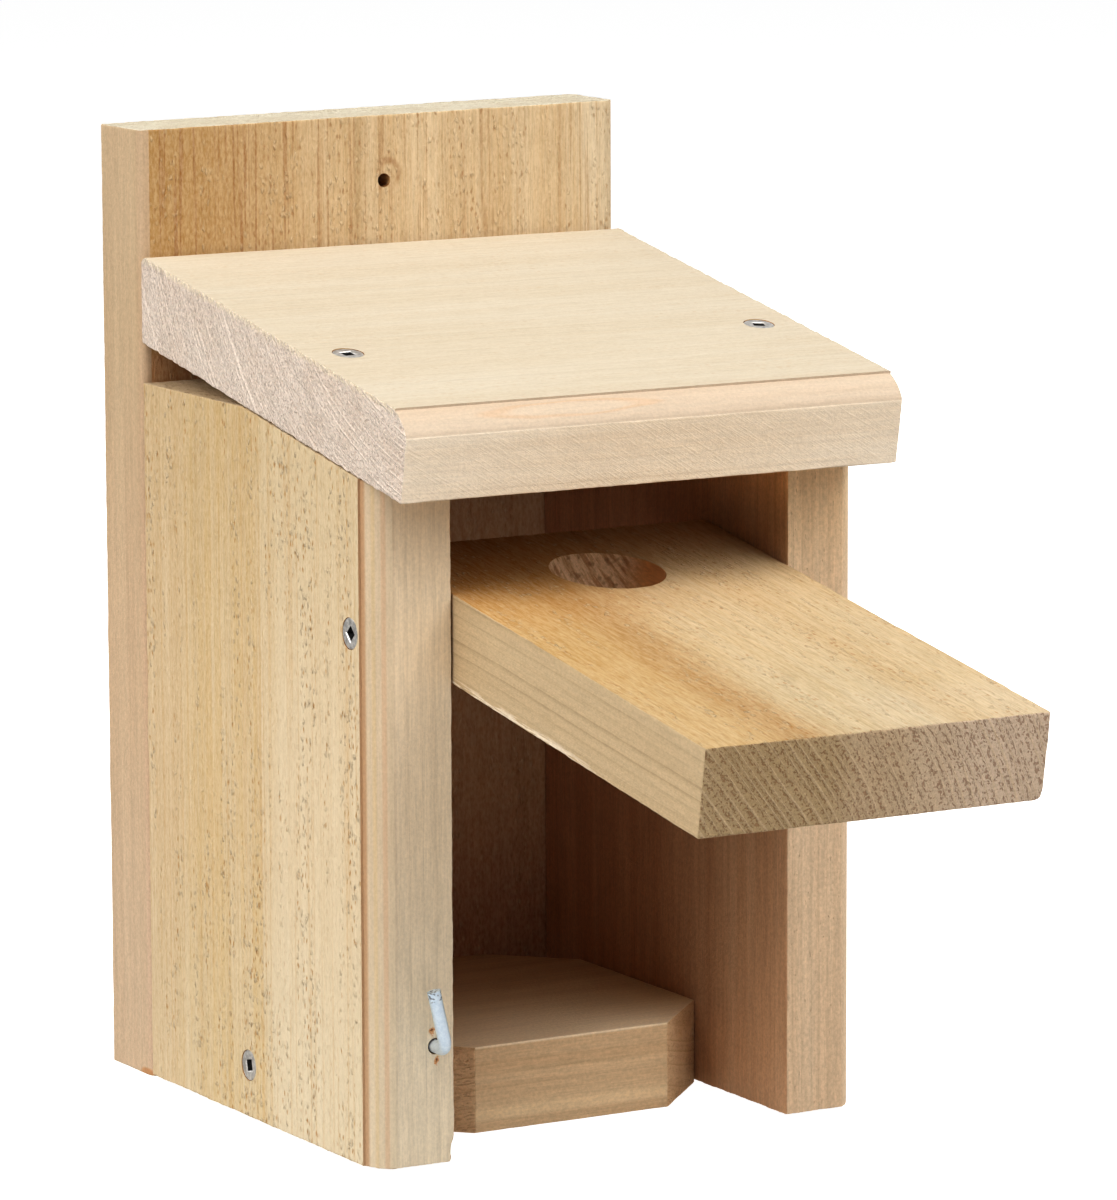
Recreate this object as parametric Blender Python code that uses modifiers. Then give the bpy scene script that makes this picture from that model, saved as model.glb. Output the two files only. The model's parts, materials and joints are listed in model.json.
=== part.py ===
"""Cedar nest box whose front tilts out on two screws, built board by board.

Metres, +Z up. +X is the right-hand side as seen from the front, and the front
faces -Y. The origin lies under the middle of the whole object, with its front
tilted out, on the plane that the box stands on.
"""
import math

import bmesh
import bpy
from mathutils import Matrix, Vector

MM = 0.001
GAP = 0.3 * MM

# Stock boards: one rough face, the others planed
BOARD_THICK = 22.0 * MM
BOARD_WIDE = 139.7 * MM
BACK_THICK = 22.5 * MM
ARRIS = 0.8 * MM

# Milled front edge of the sides and the roof: a small step, then a quarter round
STEP = 1.0 * MM
ROUND_ALONG = 6.6 * MM
ROUND_DEEP = 4.6 * MM
ROUND_PARTS = 7

# Back board
BACK_HIGH = 247.0 * MM
BACK_ARRIS = 2.5 * MM
HANGING_HOLE_RADIUS = 1.8 * MM
HANGING_HOLE_DROP = 17.2 * MM
HANGING_HOLE_X = 0.6 * MM

# Sides
SIDE_DEEP = 122.5 * MM
SIDE_LIFT = 0.7 * MM
SIDE_TOP = 181.5 * MM

# Roof, sloping down to the front
ROOF_SLOPE = math.radians(10.2)
ROOF_WIDE = 140.0 * MM
ROOF_LONG = 139.8 * MM
ROOF_UNDERSIDE_AT_BACK = 191.8 * MM
ROOF_BACK_ARRIS = 2.2 * MM

# Floor, with its four corners cut off so that water drains
FLOOR_SETBACK = 25.2 * MM
FLOOR_CORNER = 19.5 * MM

# Front door, shown tilted out: its lower end hangs below the level of its hinge
DOOR_WIDE = 94.7 * MM
DOOR_BELOW_HINGE = 129.3 * MM
DOOR_ABOVE_HINGE = 29.9 * MM
DOOR_TILT = math.radians(9.4)
HINGE_BEHIND_FRONT = 11.2 * MM
HINGE_HIGH = 132.2 * MM
ENTRANCE_RADIUS = 14.6 * MM
ENTRANCE_BELOW_HINGE = 2.5 * MM

# Flat-head wood screws with a square recess
SCREW_LONG = 41.0 * MM
SCREW_HEAD_RADIUS = 3.9 * MM
SCREW_HEAD_RIM = 0.5 * MM
SCREW_HEAD_DEEP = 3.4 * MM
SCREW_SHANK_RADIUS = 2.0 * MM
SCREW_TIP = 5.0 * MM
SCREW_RECESS = 2.85 * MM
SCREW_RECESS_DEEP = 2.6 * MM
SCREW_SUNK = 0.3 * MM
SCREW_SIDES = 24
FLOOR_SCREW_BACK = 55.2 * MM
FLOOR_SCREW_HIGH = 14.05 * MM
ROOF_SCREW_DOWN_SLOPE = 88.2 * MM
BACK_SCREWS_HIGH = {"lower": 40.0 * MM, "upper": 150.0 * MM}

# Square-bend screw hook that turns across the closed door
HOOK_RADIUS = 1.65 * MM
HOOK_BEND = 2.5 * MM
HOOK_STANDOFF = 5.8 * MM
HOOK_ARM = 15.6 * MM
HOOK_SHANK = 20.0 * MM
HOOK_HIGH = 30.2 * MM
HOOK_FROM_INNER_FACE = 5.3 * MM
HOOK_LEAN = math.radians(-13.0)
HOOK_BEND_PARTS = 5

# Places that follow from the sizes above
OUTER = BOARD_WIDE / 2
INNER = OUTER - BOARD_THICK
SIDE_MIDDLE = OUTER - BOARD_THICK / 2
DOOR_REACH = DOOR_BELOW_HINGE * math.cos(DOOR_TILT) + BOARD_THICK / 2 * math.sin(DOOR_TILT)
FRONT_REACH = SIDE_DEEP - HINGE_BEHIND_FRONT + DOOR_REACH
BACK_FACE = (FRONT_REACH - BACK_THICK) / 2
BOX_FRONT = BACK_FACE - SIDE_DEEP
HINGE_Y = BOX_FRONT + HINGE_BEHIND_FRONT
HOOK_X = -(INNER + HOOK_FROM_INNER_FACE)

# Turns an outline drawn in X and Y to stand in X and Z, or in Y and Z
STAND_XZ = Matrix.Rotation(math.pi / 2, 4, "X")
STAND_YZ = Matrix(((0, 0, 1, 0), (1, 0, 0, 0), (0, 1, 0, 0), (0, 0, 0, 1)))


def clear_scene():
    for thing in list(bpy.data.objects):
        bpy.data.objects.remove(thing)


def new_collection(name):
    group = bpy.data.collections.new(name)
    bpy.context.scene.collection.children.link(group)
    return group


def material(name, colour, roughness, metallic=0.0):
    result = bpy.data.materials.new(name)
    result.use_nodes = True
    shader = result.node_tree.nodes["Principled BSDF"]
    shader.inputs["Base Color"].default_value = (*colour, 1.0)
    shader.inputs["Roughness"].default_value = roughness
    shader.inputs["Metallic"].default_value = metallic
    return result


def weld(mesh):
    """Joins the points that meet, and turns every face outwards."""
    work = bmesh.new()
    work.from_mesh(mesh)
    bmesh.ops.remove_doubles(work, verts=work.verts, dist=0.001 * MM)
    bmesh.ops.recalc_face_normals(work, faces=work.faces)
    work.to_mesh(mesh)
    work.free()


def solid_from(source, group):
    """Replaces an object by a mesh object that holds what its modifiers make of it."""
    name = source.name
    bpy.context.view_layer.update()
    evaluated = source.evaluated_get(bpy.context.evaluated_depsgraph_get())
    mesh = bpy.data.meshes.new_from_object(evaluated)
    weld(mesh)
    place = source.matrix_world.copy()
    bpy.data.objects.remove(source)
    mesh.name = name
    result = bpy.data.objects.new(name, mesh)
    result.matrix_world = place
    group.objects.link(result)
    return result


def extruded(name, outline, length, stand=None):
    """A flat outline given a length, centred on its own plane."""
    curve = bpy.data.curves.new(name, "CURVE")
    curve.dimensions = "2D"
    curve.fill_mode = "BOTH"
    curve.extrude = length / 2
    spline = curve.splines.new("POLY")
    spline.points.add(len(outline) - 1)
    for point, (x, y) in zip(spline.points, outline):
        point.co = (x, y, 0.0, 1.0)
    spline.use_cyclic_u = True
    source = bpy.data.objects.new(name, curve)
    parts.objects.link(source)
    result = solid_from(source, parts)
    if stand is not None:
        result.data.transform(stand)
    return result


def box(name, size, centre, group):
    bpy.ops.mesh.primitive_cube_add(size=1.0, location=centre)
    result = bpy.context.active_object
    result.name = name
    result.scale = size
    bpy.ops.object.transform_apply(location=False, rotation=False, scale=True)
    for old in list(result.users_collection):
        old.objects.unlink(result)
    group.objects.link(result)
    return result


def turned(name, profile, group):
    """A solid of revolution about Z; its profile runs from the top down at +X."""
    mesh = bpy.data.meshes.new(name)
    points = [(radius, 0.0, height) for radius, height in profile]
    edges = [(i, i + 1) for i in range(len(points) - 1)]
    mesh.from_pydata(points, edges, [])
    source = bpy.data.objects.new(name, mesh)
    group.objects.link(source)
    screw = source.modifiers.new("turn", "SCREW")
    screw.steps = SCREW_SIDES
    screw.render_steps = SCREW_SIDES
    screw.use_merge_vertices = True
    screw.merge_threshold = 0.01 * MM
    screw.use_smooth_shade = False
    return solid_from(source, group)


def as_cutter(thing):
    thing.hide_render = True
    thing.display_type = "WIRE"
    return thing


def cut(piece, cutter):
    boolean = piece.modifiers.new("cut_" + cutter.name, "BOOLEAN")
    boolean.operation = "DIFFERENCE"
    boolean.solver = "EXACT"
    boolean.object = cutter


def quarter(centre, radius_x, radius_y, start, count):
    """Points on a quarter of an ellipse, from one angle through 90 degrees more."""
    points = []
    for i in range(count + 1):
        angle = start + math.pi / 2 * i / count
        x = centre[0] + radius_x * math.cos(angle)
        y = centre[1] + radius_y * math.sin(angle)
        points.append((x, y))
    return points


def paint(piece, colour, roughness=0.8):
    piece.data.materials.append(material(piece.name, colour, roughness))


def make_back_board():
    back = BACK_FACE + BACK_THICK
    outline = [(OUTER, back), (-OUTER, back)]
    left_centre = (-OUTER + BACK_ARRIS, BACK_FACE + BACK_ARRIS)
    right_centre = (OUTER - BACK_ARRIS, BACK_FACE + BACK_ARRIS)
    outline += quarter(left_centre, BACK_ARRIS, BACK_ARRIS, math.pi, 4)
    outline += quarter(right_centre, BACK_ARRIS, BACK_ARRIS, 1.5 * math.pi, 4)
    piece = extruded("back_board", outline, BACK_HIGH)
    piece.location.z = BACK_HIGH / 2
    paint(piece, (0.58, 0.38, 0.18))
    through = 3 * BACK_THICK
    bpy.ops.mesh.primitive_cylinder_add(vertices=SCREW_SIDES, radius=HANGING_HOLE_RADIUS, depth=through)
    hole = bpy.context.active_object
    hole.name = "hanging_hole"
    hole.rotation_euler.x = math.pi / 2
    hole.location = (HANGING_HOLE_X, BACK_FACE + BACK_THICK / 2, BACK_HIGH - HANGING_HOLE_DROP)
    move_to(hole, cutters)
    cut(piece, as_cutter(hole))
    return piece


def move_to(thing, group):
    for old in list(thing.users_collection):
        old.objects.unlink(thing)
    group.objects.link(thing)


def milled_edge(across, along, turn):
    """The step and quarter round at a board's front edge, as (across, along) points.

    across is the rough face, along is the front edge, and turn is the direction
    from the rough face into the board. The points run from the rough face down.
    """
    points = [(across, along + ROUND_ALONG)]
    for i in range(ROUND_PARTS + 1):
        angle = math.pi / 2 * i / ROUND_PARTS
        deep = STEP + ROUND_DEEP * (1 - math.cos(angle))
        points.append((across + turn * deep, along + ROUND_ALONG * (1 - math.sin(angle))))
    return points


def make_side(name, hand):
    """One side board; hand is -1 on the left and 1 on the right."""
    back = BACK_FACE - GAP
    outline = [(hand * INNER, back), (hand * (OUTER - ARRIS), back), (hand * OUTER, back - ARRIS)]
    outline += milled_edge(hand * OUTER, BOX_FRONT, -hand)
    outline.append((hand * INNER, BOX_FRONT))
    height = SIDE_TOP - SIDE_LIFT
    piece = extruded(name, outline, height)
    piece.location.z = SIDE_LIFT + height / 2
    paint(piece, (0.68, 0.49, 0.29))
    return piece


def make_slope_cutter():
    """Everything above the roof's underside, less the gap that it keeps."""
    high = 80 * MM
    block = box("slope", (3 * BOARD_WIDE, 4 * ROOF_LONG, high), (0, 0, 0), cutters)
    block.data.transform(Matrix.Translation((0, 0, high / 2 - GAP)))
    block.location = (0, BACK_FACE, ROOF_UNDERSIDE_AT_BACK)
    block.rotation_euler.x = ROOF_SLOPE
    return as_cutter(block)


def make_roof():
    """Drawn level in Y and Z from the foot of its back edge, then tipped to its slope."""
    back_top = BOARD_THICK * math.tan(ROOF_SLOPE)
    outline = [(0.0, 0.0), (back_top - 0.4 * ROOF_BACK_ARRIS, BOARD_THICK - ROOF_BACK_ARRIS)]
    outline.append((back_top - 0.7 * ROOF_BACK_ARRIS, BOARD_THICK - 0.3 * ROOF_BACK_ARRIS))
    outline.append((back_top - 1.4 * ROOF_BACK_ARRIS, BOARD_THICK))
    for deep, along in milled_edge(0.0, -ROOF_LONG, 1):
        outline.append((along, BOARD_THICK - deep))
    outline.append((-ROOF_LONG, 0.0))
    piece = extruded("roof", outline, ROOF_WIDE, STAND_YZ)
    piece.location = (0, BACK_FACE - GAP, ROOF_UNDERSIDE_AT_BACK)
    piece.rotation_euler.x = ROOF_SLOPE
    paint(piece, (0.82, 0.67, 0.47))
    return piece


def make_floor():
    half = INNER - GAP
    back = BACK_FACE - GAP
    front = BOX_FRONT + FLOOR_SETBACK
    corner = FLOOR_CORNER
    right = [(half - corner, front), (half, front + corner), (half, back - corner), (half - corner, back)]
    left = [(-x, y) for x, y in reversed(right)]
    piece = extruded("floor", right + left, BOARD_THICK)
    piece.location.z = BOARD_THICK / 2
    paint(piece, (0.48, 0.31, 0.17))
    return piece


def make_door():
    """Drawn level, with its hinge axis through the origin and its rough face up."""
    half = DOOR_WIDE / 2
    top = BOARD_THICK / 2
    outline = [(-half, -top), (half, -top), (half, top - ARRIS), (half - ARRIS, top)]
    outline += [(ARRIS - half, top), (-half, top - ARRIS)]
    length = DOOR_BELOW_HINGE + DOOR_ABOVE_HINGE
    piece = extruded("front_door", outline, length, STAND_XZ)
    piece.data.transform(Matrix.Translation((0, (DOOR_ABOVE_HINGE - DOOR_BELOW_HINGE) / 2, 0)))
    piece.location = (0, HINGE_Y, HINGE_HIGH)
    piece.rotation_euler.x = DOOR_TILT
    paint(piece, (0.62, 0.41, 0.19))
    bpy.ops.mesh.primitive_cylinder_add(vertices=48, radius=ENTRANCE_RADIUS, depth=3 * BOARD_THICK)
    hole = bpy.context.active_object
    hole.name = "entrance"
    hole.rotation_euler.x = DOOR_TILT
    lower = Matrix.Rotation(DOOR_TILT, 3, "X") @ Vector((0, -ENTRANCE_BELOW_HINGE, 0))
    hole.location = piece.location + lower
    move_to(hole, cutters)
    cut(piece, as_cutter(hole))
    return piece


def make_screw_mesh(steel):
    """One screw along -Z, with the middle of its head's face at the origin."""
    profile = [
        (0.0, 0.0),
        (SCREW_HEAD_RADIUS, 0.0),
        (SCREW_HEAD_RADIUS, -SCREW_HEAD_RIM),
        (SCREW_SHANK_RADIUS, -SCREW_HEAD_DEEP),
        (SCREW_SHANK_RADIUS, SCREW_TIP - SCREW_LONG),
        (0.0, -SCREW_LONG),
    ]
    screw = turned("screw_pattern", profile, cutters)
    side = SCREW_RECESS
    socket = box("recess", (side, side, 2 * SCREW_RECESS_DEEP), (0, 0, 0), cutters)
    cut(screw, as_cutter(socket))
    screw = solid_from(screw, cutters)
    mesh = screw.data
    mesh.materials.append(steel)
    bpy.data.objects.remove(screw)
    bpy.data.objects.remove(socket)
    return mesh


def make_hole_mesh():
    """The hole that a screw sits in: the screw's shape grown by the gap."""
    above = 2 * MM
    profile = [
        (0.0, above),
        (SCREW_HEAD_RADIUS + GAP, above),
        (SCREW_HEAD_RADIUS + GAP, -SCREW_HEAD_RIM),
        (SCREW_SHANK_RADIUS + GAP, -SCREW_HEAD_DEEP - GAP),
        (SCREW_SHANK_RADIUS + GAP, SCREW_TIP - SCREW_LONG),
        (0.0, -SCREW_LONG - 2 * GAP),
    ]
    hole = turned("hole_pattern", profile, cutters)
    mesh = hole.data
    bpy.data.objects.remove(hole)
    return mesh


def add_screw(name, head, inward, spin, boards):
    """A screw through the boards; head is on the outer face and inward points along it."""
    turn = Vector(inward).normalized().to_track_quat("-Z", "Y")
    place = Matrix.Translation(head) @ turn.to_matrix().to_4x4()
    place = place @ Matrix.Translation((0, 0, -SCREW_SUNK))
    screw = bpy.data.objects.new(name, screw_mesh)
    screw.matrix_world = place @ Matrix.Rotation(math.radians(spin), 4, "Z")
    parts.objects.link(screw)
    hole = bpy.data.objects.new("hole_" + name, hole_mesh)
    hole.matrix_world = place
    cutters.objects.link(hole)
    as_cutter(hole)
    for board in boards:
        cut(board, hole)
    return screw


def make_hook(board):
    """Drawn with its shank along Y through the origin and its arm up, then leaned."""
    bend_y = HOOK_BEND - HOOK_STANDOFF
    route = [(0, HOOK_SHANK, 0)]
    for i in range(HOOK_BEND_PARTS + 1):
        angle = math.pi / 2 * i / HOOK_BEND_PARTS
        route.append((0, bend_y - HOOK_BEND * math.sin(angle), HOOK_BEND * (1 - math.cos(angle))))
    route.append((0, -HOOK_STANDOFF, HOOK_ARM))
    curve = bpy.data.curves.new("latch_hook", "CURVE")
    curve.dimensions = "3D"
    curve.bevel_depth = HOOK_RADIUS
    curve.bevel_resolution = 4
    curve.use_fill_caps = True
    spline = curve.splines.new("POLY")
    spline.points.add(len(route) - 1)
    for point, place in zip(spline.points, route):
        point.co = (*place, 1.0)
    source = bpy.data.objects.new("latch_hook", curve)
    parts.objects.link(source)
    source.location = (HOOK_X, BOX_FRONT, HOOK_HIGH)
    source.rotation_euler.y = HOOK_LEAN
    piece = solid_from(source, parts)
    piece.data.materials.append(material("latch_hook", (0.72, 0.75, 0.80), 0.35, 0.9))
    depth = 2 * (HOOK_SHANK + GAP)
    bpy.ops.mesh.primitive_cylinder_add(vertices=SCREW_SIDES, radius=HOOK_RADIUS + GAP, depth=depth)
    hole = bpy.context.active_object
    hole.name = "hook_hole"
    hole.rotation_euler.x = math.pi / 2
    hole.location = (HOOK_X, BOX_FRONT, HOOK_HIGH)
    move_to(hole, cutters)
    cut(board, as_cutter(hole))
    return piece


clear_scene()
parts = new_collection("birdhouse")
cutters = new_collection("cutters")

back_board = make_back_board()
slope = make_slope_cutter()
sides = {"left": make_side("left_side", -1), "right": make_side("right_side", 1)}
for side in sides.values():
    cut(side, slope)
roof = make_roof()
floor = make_floor()
door = make_door()
make_hook(sides["left"])

screw_mesh = make_screw_mesh(material("screw_steel", (0.46, 0.45, 0.43), 0.4, 1.0))
hole_mesh = make_hole_mesh()
tip = Matrix.Rotation(ROOF_SLOPE, 3, "X")
roof_head = roof.location + tip @ Vector((0, -ROOF_SCREW_DOWN_SLOPE, BOARD_THICK))
floor_screw_y = BACK_FACE - FLOOR_SCREW_BACK
back_plane = BACK_FACE + BACK_THICK
for hand_name, hand, spin in (("left", -1, 45.0), ("right", 1, 20.0)):
    side = sides[hand_name]
    inward = (-hand, 0, 0)
    head = (hand * OUTER, HINGE_Y, HINGE_HIGH)
    add_screw("pivot_screw_" + hand_name, head, inward, spin, (side, door))
    head = (hand * OUTER, floor_screw_y, FLOOR_SCREW_HIGH)
    add_screw("floor_screw_" + hand_name, head, inward, 15.0, (side, floor))
    head = roof_head + Vector((hand * SIDE_MIDDLE, 0, 0))
    add_screw("roof_screw_" + hand_name, head, tip @ Vector((0, 0, -1)), spin - 40.0, (roof, side))
    for level, height in BACK_SCREWS_HIGH.items():
        head = (hand * SIDE_MIDDLE, back_plane, height)
        name = "back_screw_" + level + "_" + hand_name
        add_screw(name, head, (0, -1, 0), spin, (back_board, side))
add_screw("back_screw_floor", (0, back_plane, BOARD_THICK / 2), (0, -1, 0), 30.0, (back_board, floor))
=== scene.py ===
"""The looks of the cedar birdhouse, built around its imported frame."""

import json
import math

import bmesh
import bpy
import numpy as np
from mathutils import Matrix, Vector


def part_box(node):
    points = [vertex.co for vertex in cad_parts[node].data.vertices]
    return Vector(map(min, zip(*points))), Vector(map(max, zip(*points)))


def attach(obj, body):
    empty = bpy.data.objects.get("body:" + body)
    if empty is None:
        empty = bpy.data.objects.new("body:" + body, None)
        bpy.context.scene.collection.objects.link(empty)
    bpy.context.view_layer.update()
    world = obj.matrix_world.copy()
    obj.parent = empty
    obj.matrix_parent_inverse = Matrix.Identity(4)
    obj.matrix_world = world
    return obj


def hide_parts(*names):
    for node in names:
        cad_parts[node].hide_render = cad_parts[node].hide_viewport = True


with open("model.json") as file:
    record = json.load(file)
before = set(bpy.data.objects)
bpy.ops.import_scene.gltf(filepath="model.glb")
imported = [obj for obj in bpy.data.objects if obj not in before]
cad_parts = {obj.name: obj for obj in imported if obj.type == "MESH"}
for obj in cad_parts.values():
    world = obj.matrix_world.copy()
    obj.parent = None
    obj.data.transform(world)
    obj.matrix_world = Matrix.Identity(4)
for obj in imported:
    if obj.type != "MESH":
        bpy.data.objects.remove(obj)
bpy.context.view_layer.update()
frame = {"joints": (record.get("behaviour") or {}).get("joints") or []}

MM = 0.001

# ---------------------------------------------------------------- places, in millimetres

def corners(node):
    low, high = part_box(node)
    return np.array(low) / MM, np.array(high) / MM


back_low, back_high = corners("back_board")
side_low, side_high = corners("left_side")
floor_low, floor_high = corners("floor")
hinge = next(j for j in frame["joints"] if j["name"] == "front_pivot")
latch = next(j for j in frame["joints"] if j["name"] == "latch_turn")
HINGE = np.array(hinge["pos_m"]) / MM
LATCH = np.array(latch["pos_m"]) / MM

THICK = 22.0
BACK_FACE = back_low[1]
FRONT_PLANE = side_low[1]
OUTER = back_high[0]
INNER = OUTER - THICK
SIDE_MIDDLE = OUTER - THICK / 2

STEP = 1.0
ROUND_ALONG = 6.6
ROUND_DEEP = 4.6
ARC_FROM, ARC_TO = math.radians(14.0), math.radians(58.0)
ARC_PARTS = 9

ROOF_SLOPE = math.radians(10.2)
ROOF_LONG = 139.8
ROOF_HALF = 70.0
ROOF_FOOT = 191.8
GAP = 0.3

DOOR_TILT = math.radians(9.4)
DOOR_HALF = 47.35
DOOR_BELOW = 129.3
DOOR_ABOVE = 29.9
ENTRANCE_RADIUS = 14.6
ENTRANCE_BELOW = 2.5

HANGING_HOLE = (0.6, back_high[2] - 17.2)
HANGING_RADIUS = 1.8

FLOOR_CORNER = 19.5

SCRATCH_SLANT = math.radians(-31.0)

# ---------------------------------------------------------------- numpy noise


def hashed(ix, iy, iz, seed):
    value = ix * 374761393 + iy * 668265263 + iz * 1440662683 + seed * 974711
    value = value & 0xFFFFFFFF
    value = ((value ^ (value >> 13)) * 1274126177) & 0xFFFFFFFF
    value = value ^ (value >> 16)
    return value.astype(np.float64) / 0xFFFFFFFF


def noise(points, size, seed=0):
    """Smooth noise from -1 to 1; size is the length of a lump along each axis."""
    p = points / np.asarray(size, float) + 1000.0
    cell = np.floor(p).astype(np.int64)
    f = p - cell
    f = f * f * (3 - 2 * f)
    total = np.zeros(len(p))
    for dx in (0, 1):
        wx = f[:, 0] if dx else 1 - f[:, 0]
        for dy in (0, 1):
            wy = f[:, 1] if dy else 1 - f[:, 1]
            for dz in (0, 1):
                wz = f[:, 2] if dz else 1 - f[:, 2]
                total += wx * wy * wz * hashed(cell[:, 0] + dx, cell[:, 1] + dy, cell[:, 2] + dz, seed)
    return total * 2 - 1


# ---------------------------------------------------------------- board meshes


def stations(length, step, edge=0.5):
    """Positions from 0 to length, close together at both ends, where the arrises are."""
    near = [share * edge for share in (0.0, 0.14, 0.36, 0.66, 1.0, 1.7)]
    inner = length - 2 * near[-1]
    count = max(1, int(round(inner / step)))
    middle = [near[-1] + inner * i / count for i in range(1, count)]
    return np.array(near + middle + [length - d for d in reversed(near)])


def lattice_surface(ni, nj, nk):
    """The outside of a block of ni x nj x nk points: their places in it, quads and a face label a quad."""
    ids = -np.ones((ni, nj, nk), int)
    shell = np.zeros((ni, nj, nk), bool)
    shell[0] = shell[-1] = True
    shell[:, 0] = shell[:, -1] = True
    shell[:, :, 0] = shell[:, :, -1] = True
    ids[shell] = np.arange(shell.sum())
    index = np.argwhere(shell)
    quads, labels = [], []

    def add(grid, flip, label):
        a, b, c, d = grid[:-1, :-1], grid[1:, :-1], grid[1:, 1:], grid[:-1, 1:]
        q = np.stack([a, d, c, b] if flip else [a, b, c, d], -1).reshape(-1, 4)
        quads.append(q)
        labels.append(np.full(len(q), label))

    add(ids[0], True, 0)
    add(ids[-1], False, 1)
    add(ids[:, 0], False, 2)
    add(ids[:, -1], True, 3)
    add(ids[:, :, 0], True, 4)
    add(ids[:, :, -1], False, 5)
    return index, np.concatenate(quads), np.concatenate(labels)


def eased(inward, radius):
    """How far each point of a block moves in along each axis, so that its arrises are rounded."""
    v = np.clip(radius[:, None] - inward, 0, None)
    length = np.maximum(np.linalg.norm(v, axis=1), 1e-9)
    scale = np.where(length > radius, radius / length, 1.0)
    return radius[:, None] - v * scale[:, None] - np.where(v > 0, inward, radius[:, None])


def mesh_object(name, verts, quads, materials, labels):
    mesh = bpy.data.meshes.new(name)
    mesh.from_pydata((verts * MM).tolist(), [], quads.tolist())
    for m in materials:
        mesh.materials.append(m)
    mesh.polygons.foreach_set("material_index", labels.astype(np.int32))
    mesh.update()
    obj = bpy.data.objects.new(name, mesh)
    bpy.context.scene.collection.objects.link(obj)
    return obj


def face_out(obj):
    work = bmesh.new()
    work.from_mesh(obj.data)
    bmesh.ops.recalc_face_normals(work, faces=work.faces)
    work.to_mesh(obj.data)
    work.free()


def smooth(obj, angle):
    obj.data.polygons.foreach_set("use_smooth", np.ones(len(obj.data.polygons), bool))
    obj.data.set_sharp_from_angle(angle=math.radians(angle))


def carve(obj, cutters):
    """Cuts the closed meshes in cutters out of obj."""
    for cutter in cutters:
        modifier = obj.modifiers.new("carve", "BOOLEAN")
        modifier.operation = "DIFFERENCE"
        modifier.solver = "MANIFOLD"
        modifier.object = cutter
    bpy.context.view_layer.update()
    evaluated = obj.evaluated_get(bpy.context.evaluated_depsgraph_get())
    mesh = bpy.data.meshes.new_from_object(evaluated)
    obj.modifiers.clear()
    obj.data = mesh
    for cutter in cutters:
        bpy.data.objects.remove(cutter)


def circle(sides):
    return [2 * math.pi * s / sides for s in range(sides)]


def tube(name, verts, sides, material=None, place=None):
    """A closed tube from rows of points, in millimetres, with sides points to a row."""
    rows = len(verts) // sides
    faces = []
    for r in range(rows - 1):
        for s in range(sides):
            n = (s + 1) % sides
            faces.append((r * sides + s, (r + 1) * sides + s, (r + 1) * sides + n, r * sides + n))
    faces.append(tuple(range(sides)))
    faces.append(tuple(reversed(range((rows - 1) * sides, rows * sides))))
    mesh = bpy.data.meshes.new(name)
    mesh.from_pydata([tuple(c * MM for c in v) for v in verts], [], faces)
    if material is not None:
        mesh.materials.append(material)
    if place is not None:
        mesh.transform(place)
    obj = bpy.data.objects.new(name, mesh)
    bpy.context.scene.collection.objects.link(obj)
    face_out(obj)
    return obj


def turned(name, profile, sides, place):
    """A closed solid of revolution about Z; profile is (radius, height) from the top down, in millimetres."""
    verts = [(radius * math.cos(a), radius * math.sin(a), height)
             for radius, height in profile for a in circle(sides)]
    return tube(name, verts, sides, place=place)


# ---------------------------------------------------------------- material graphs


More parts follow.
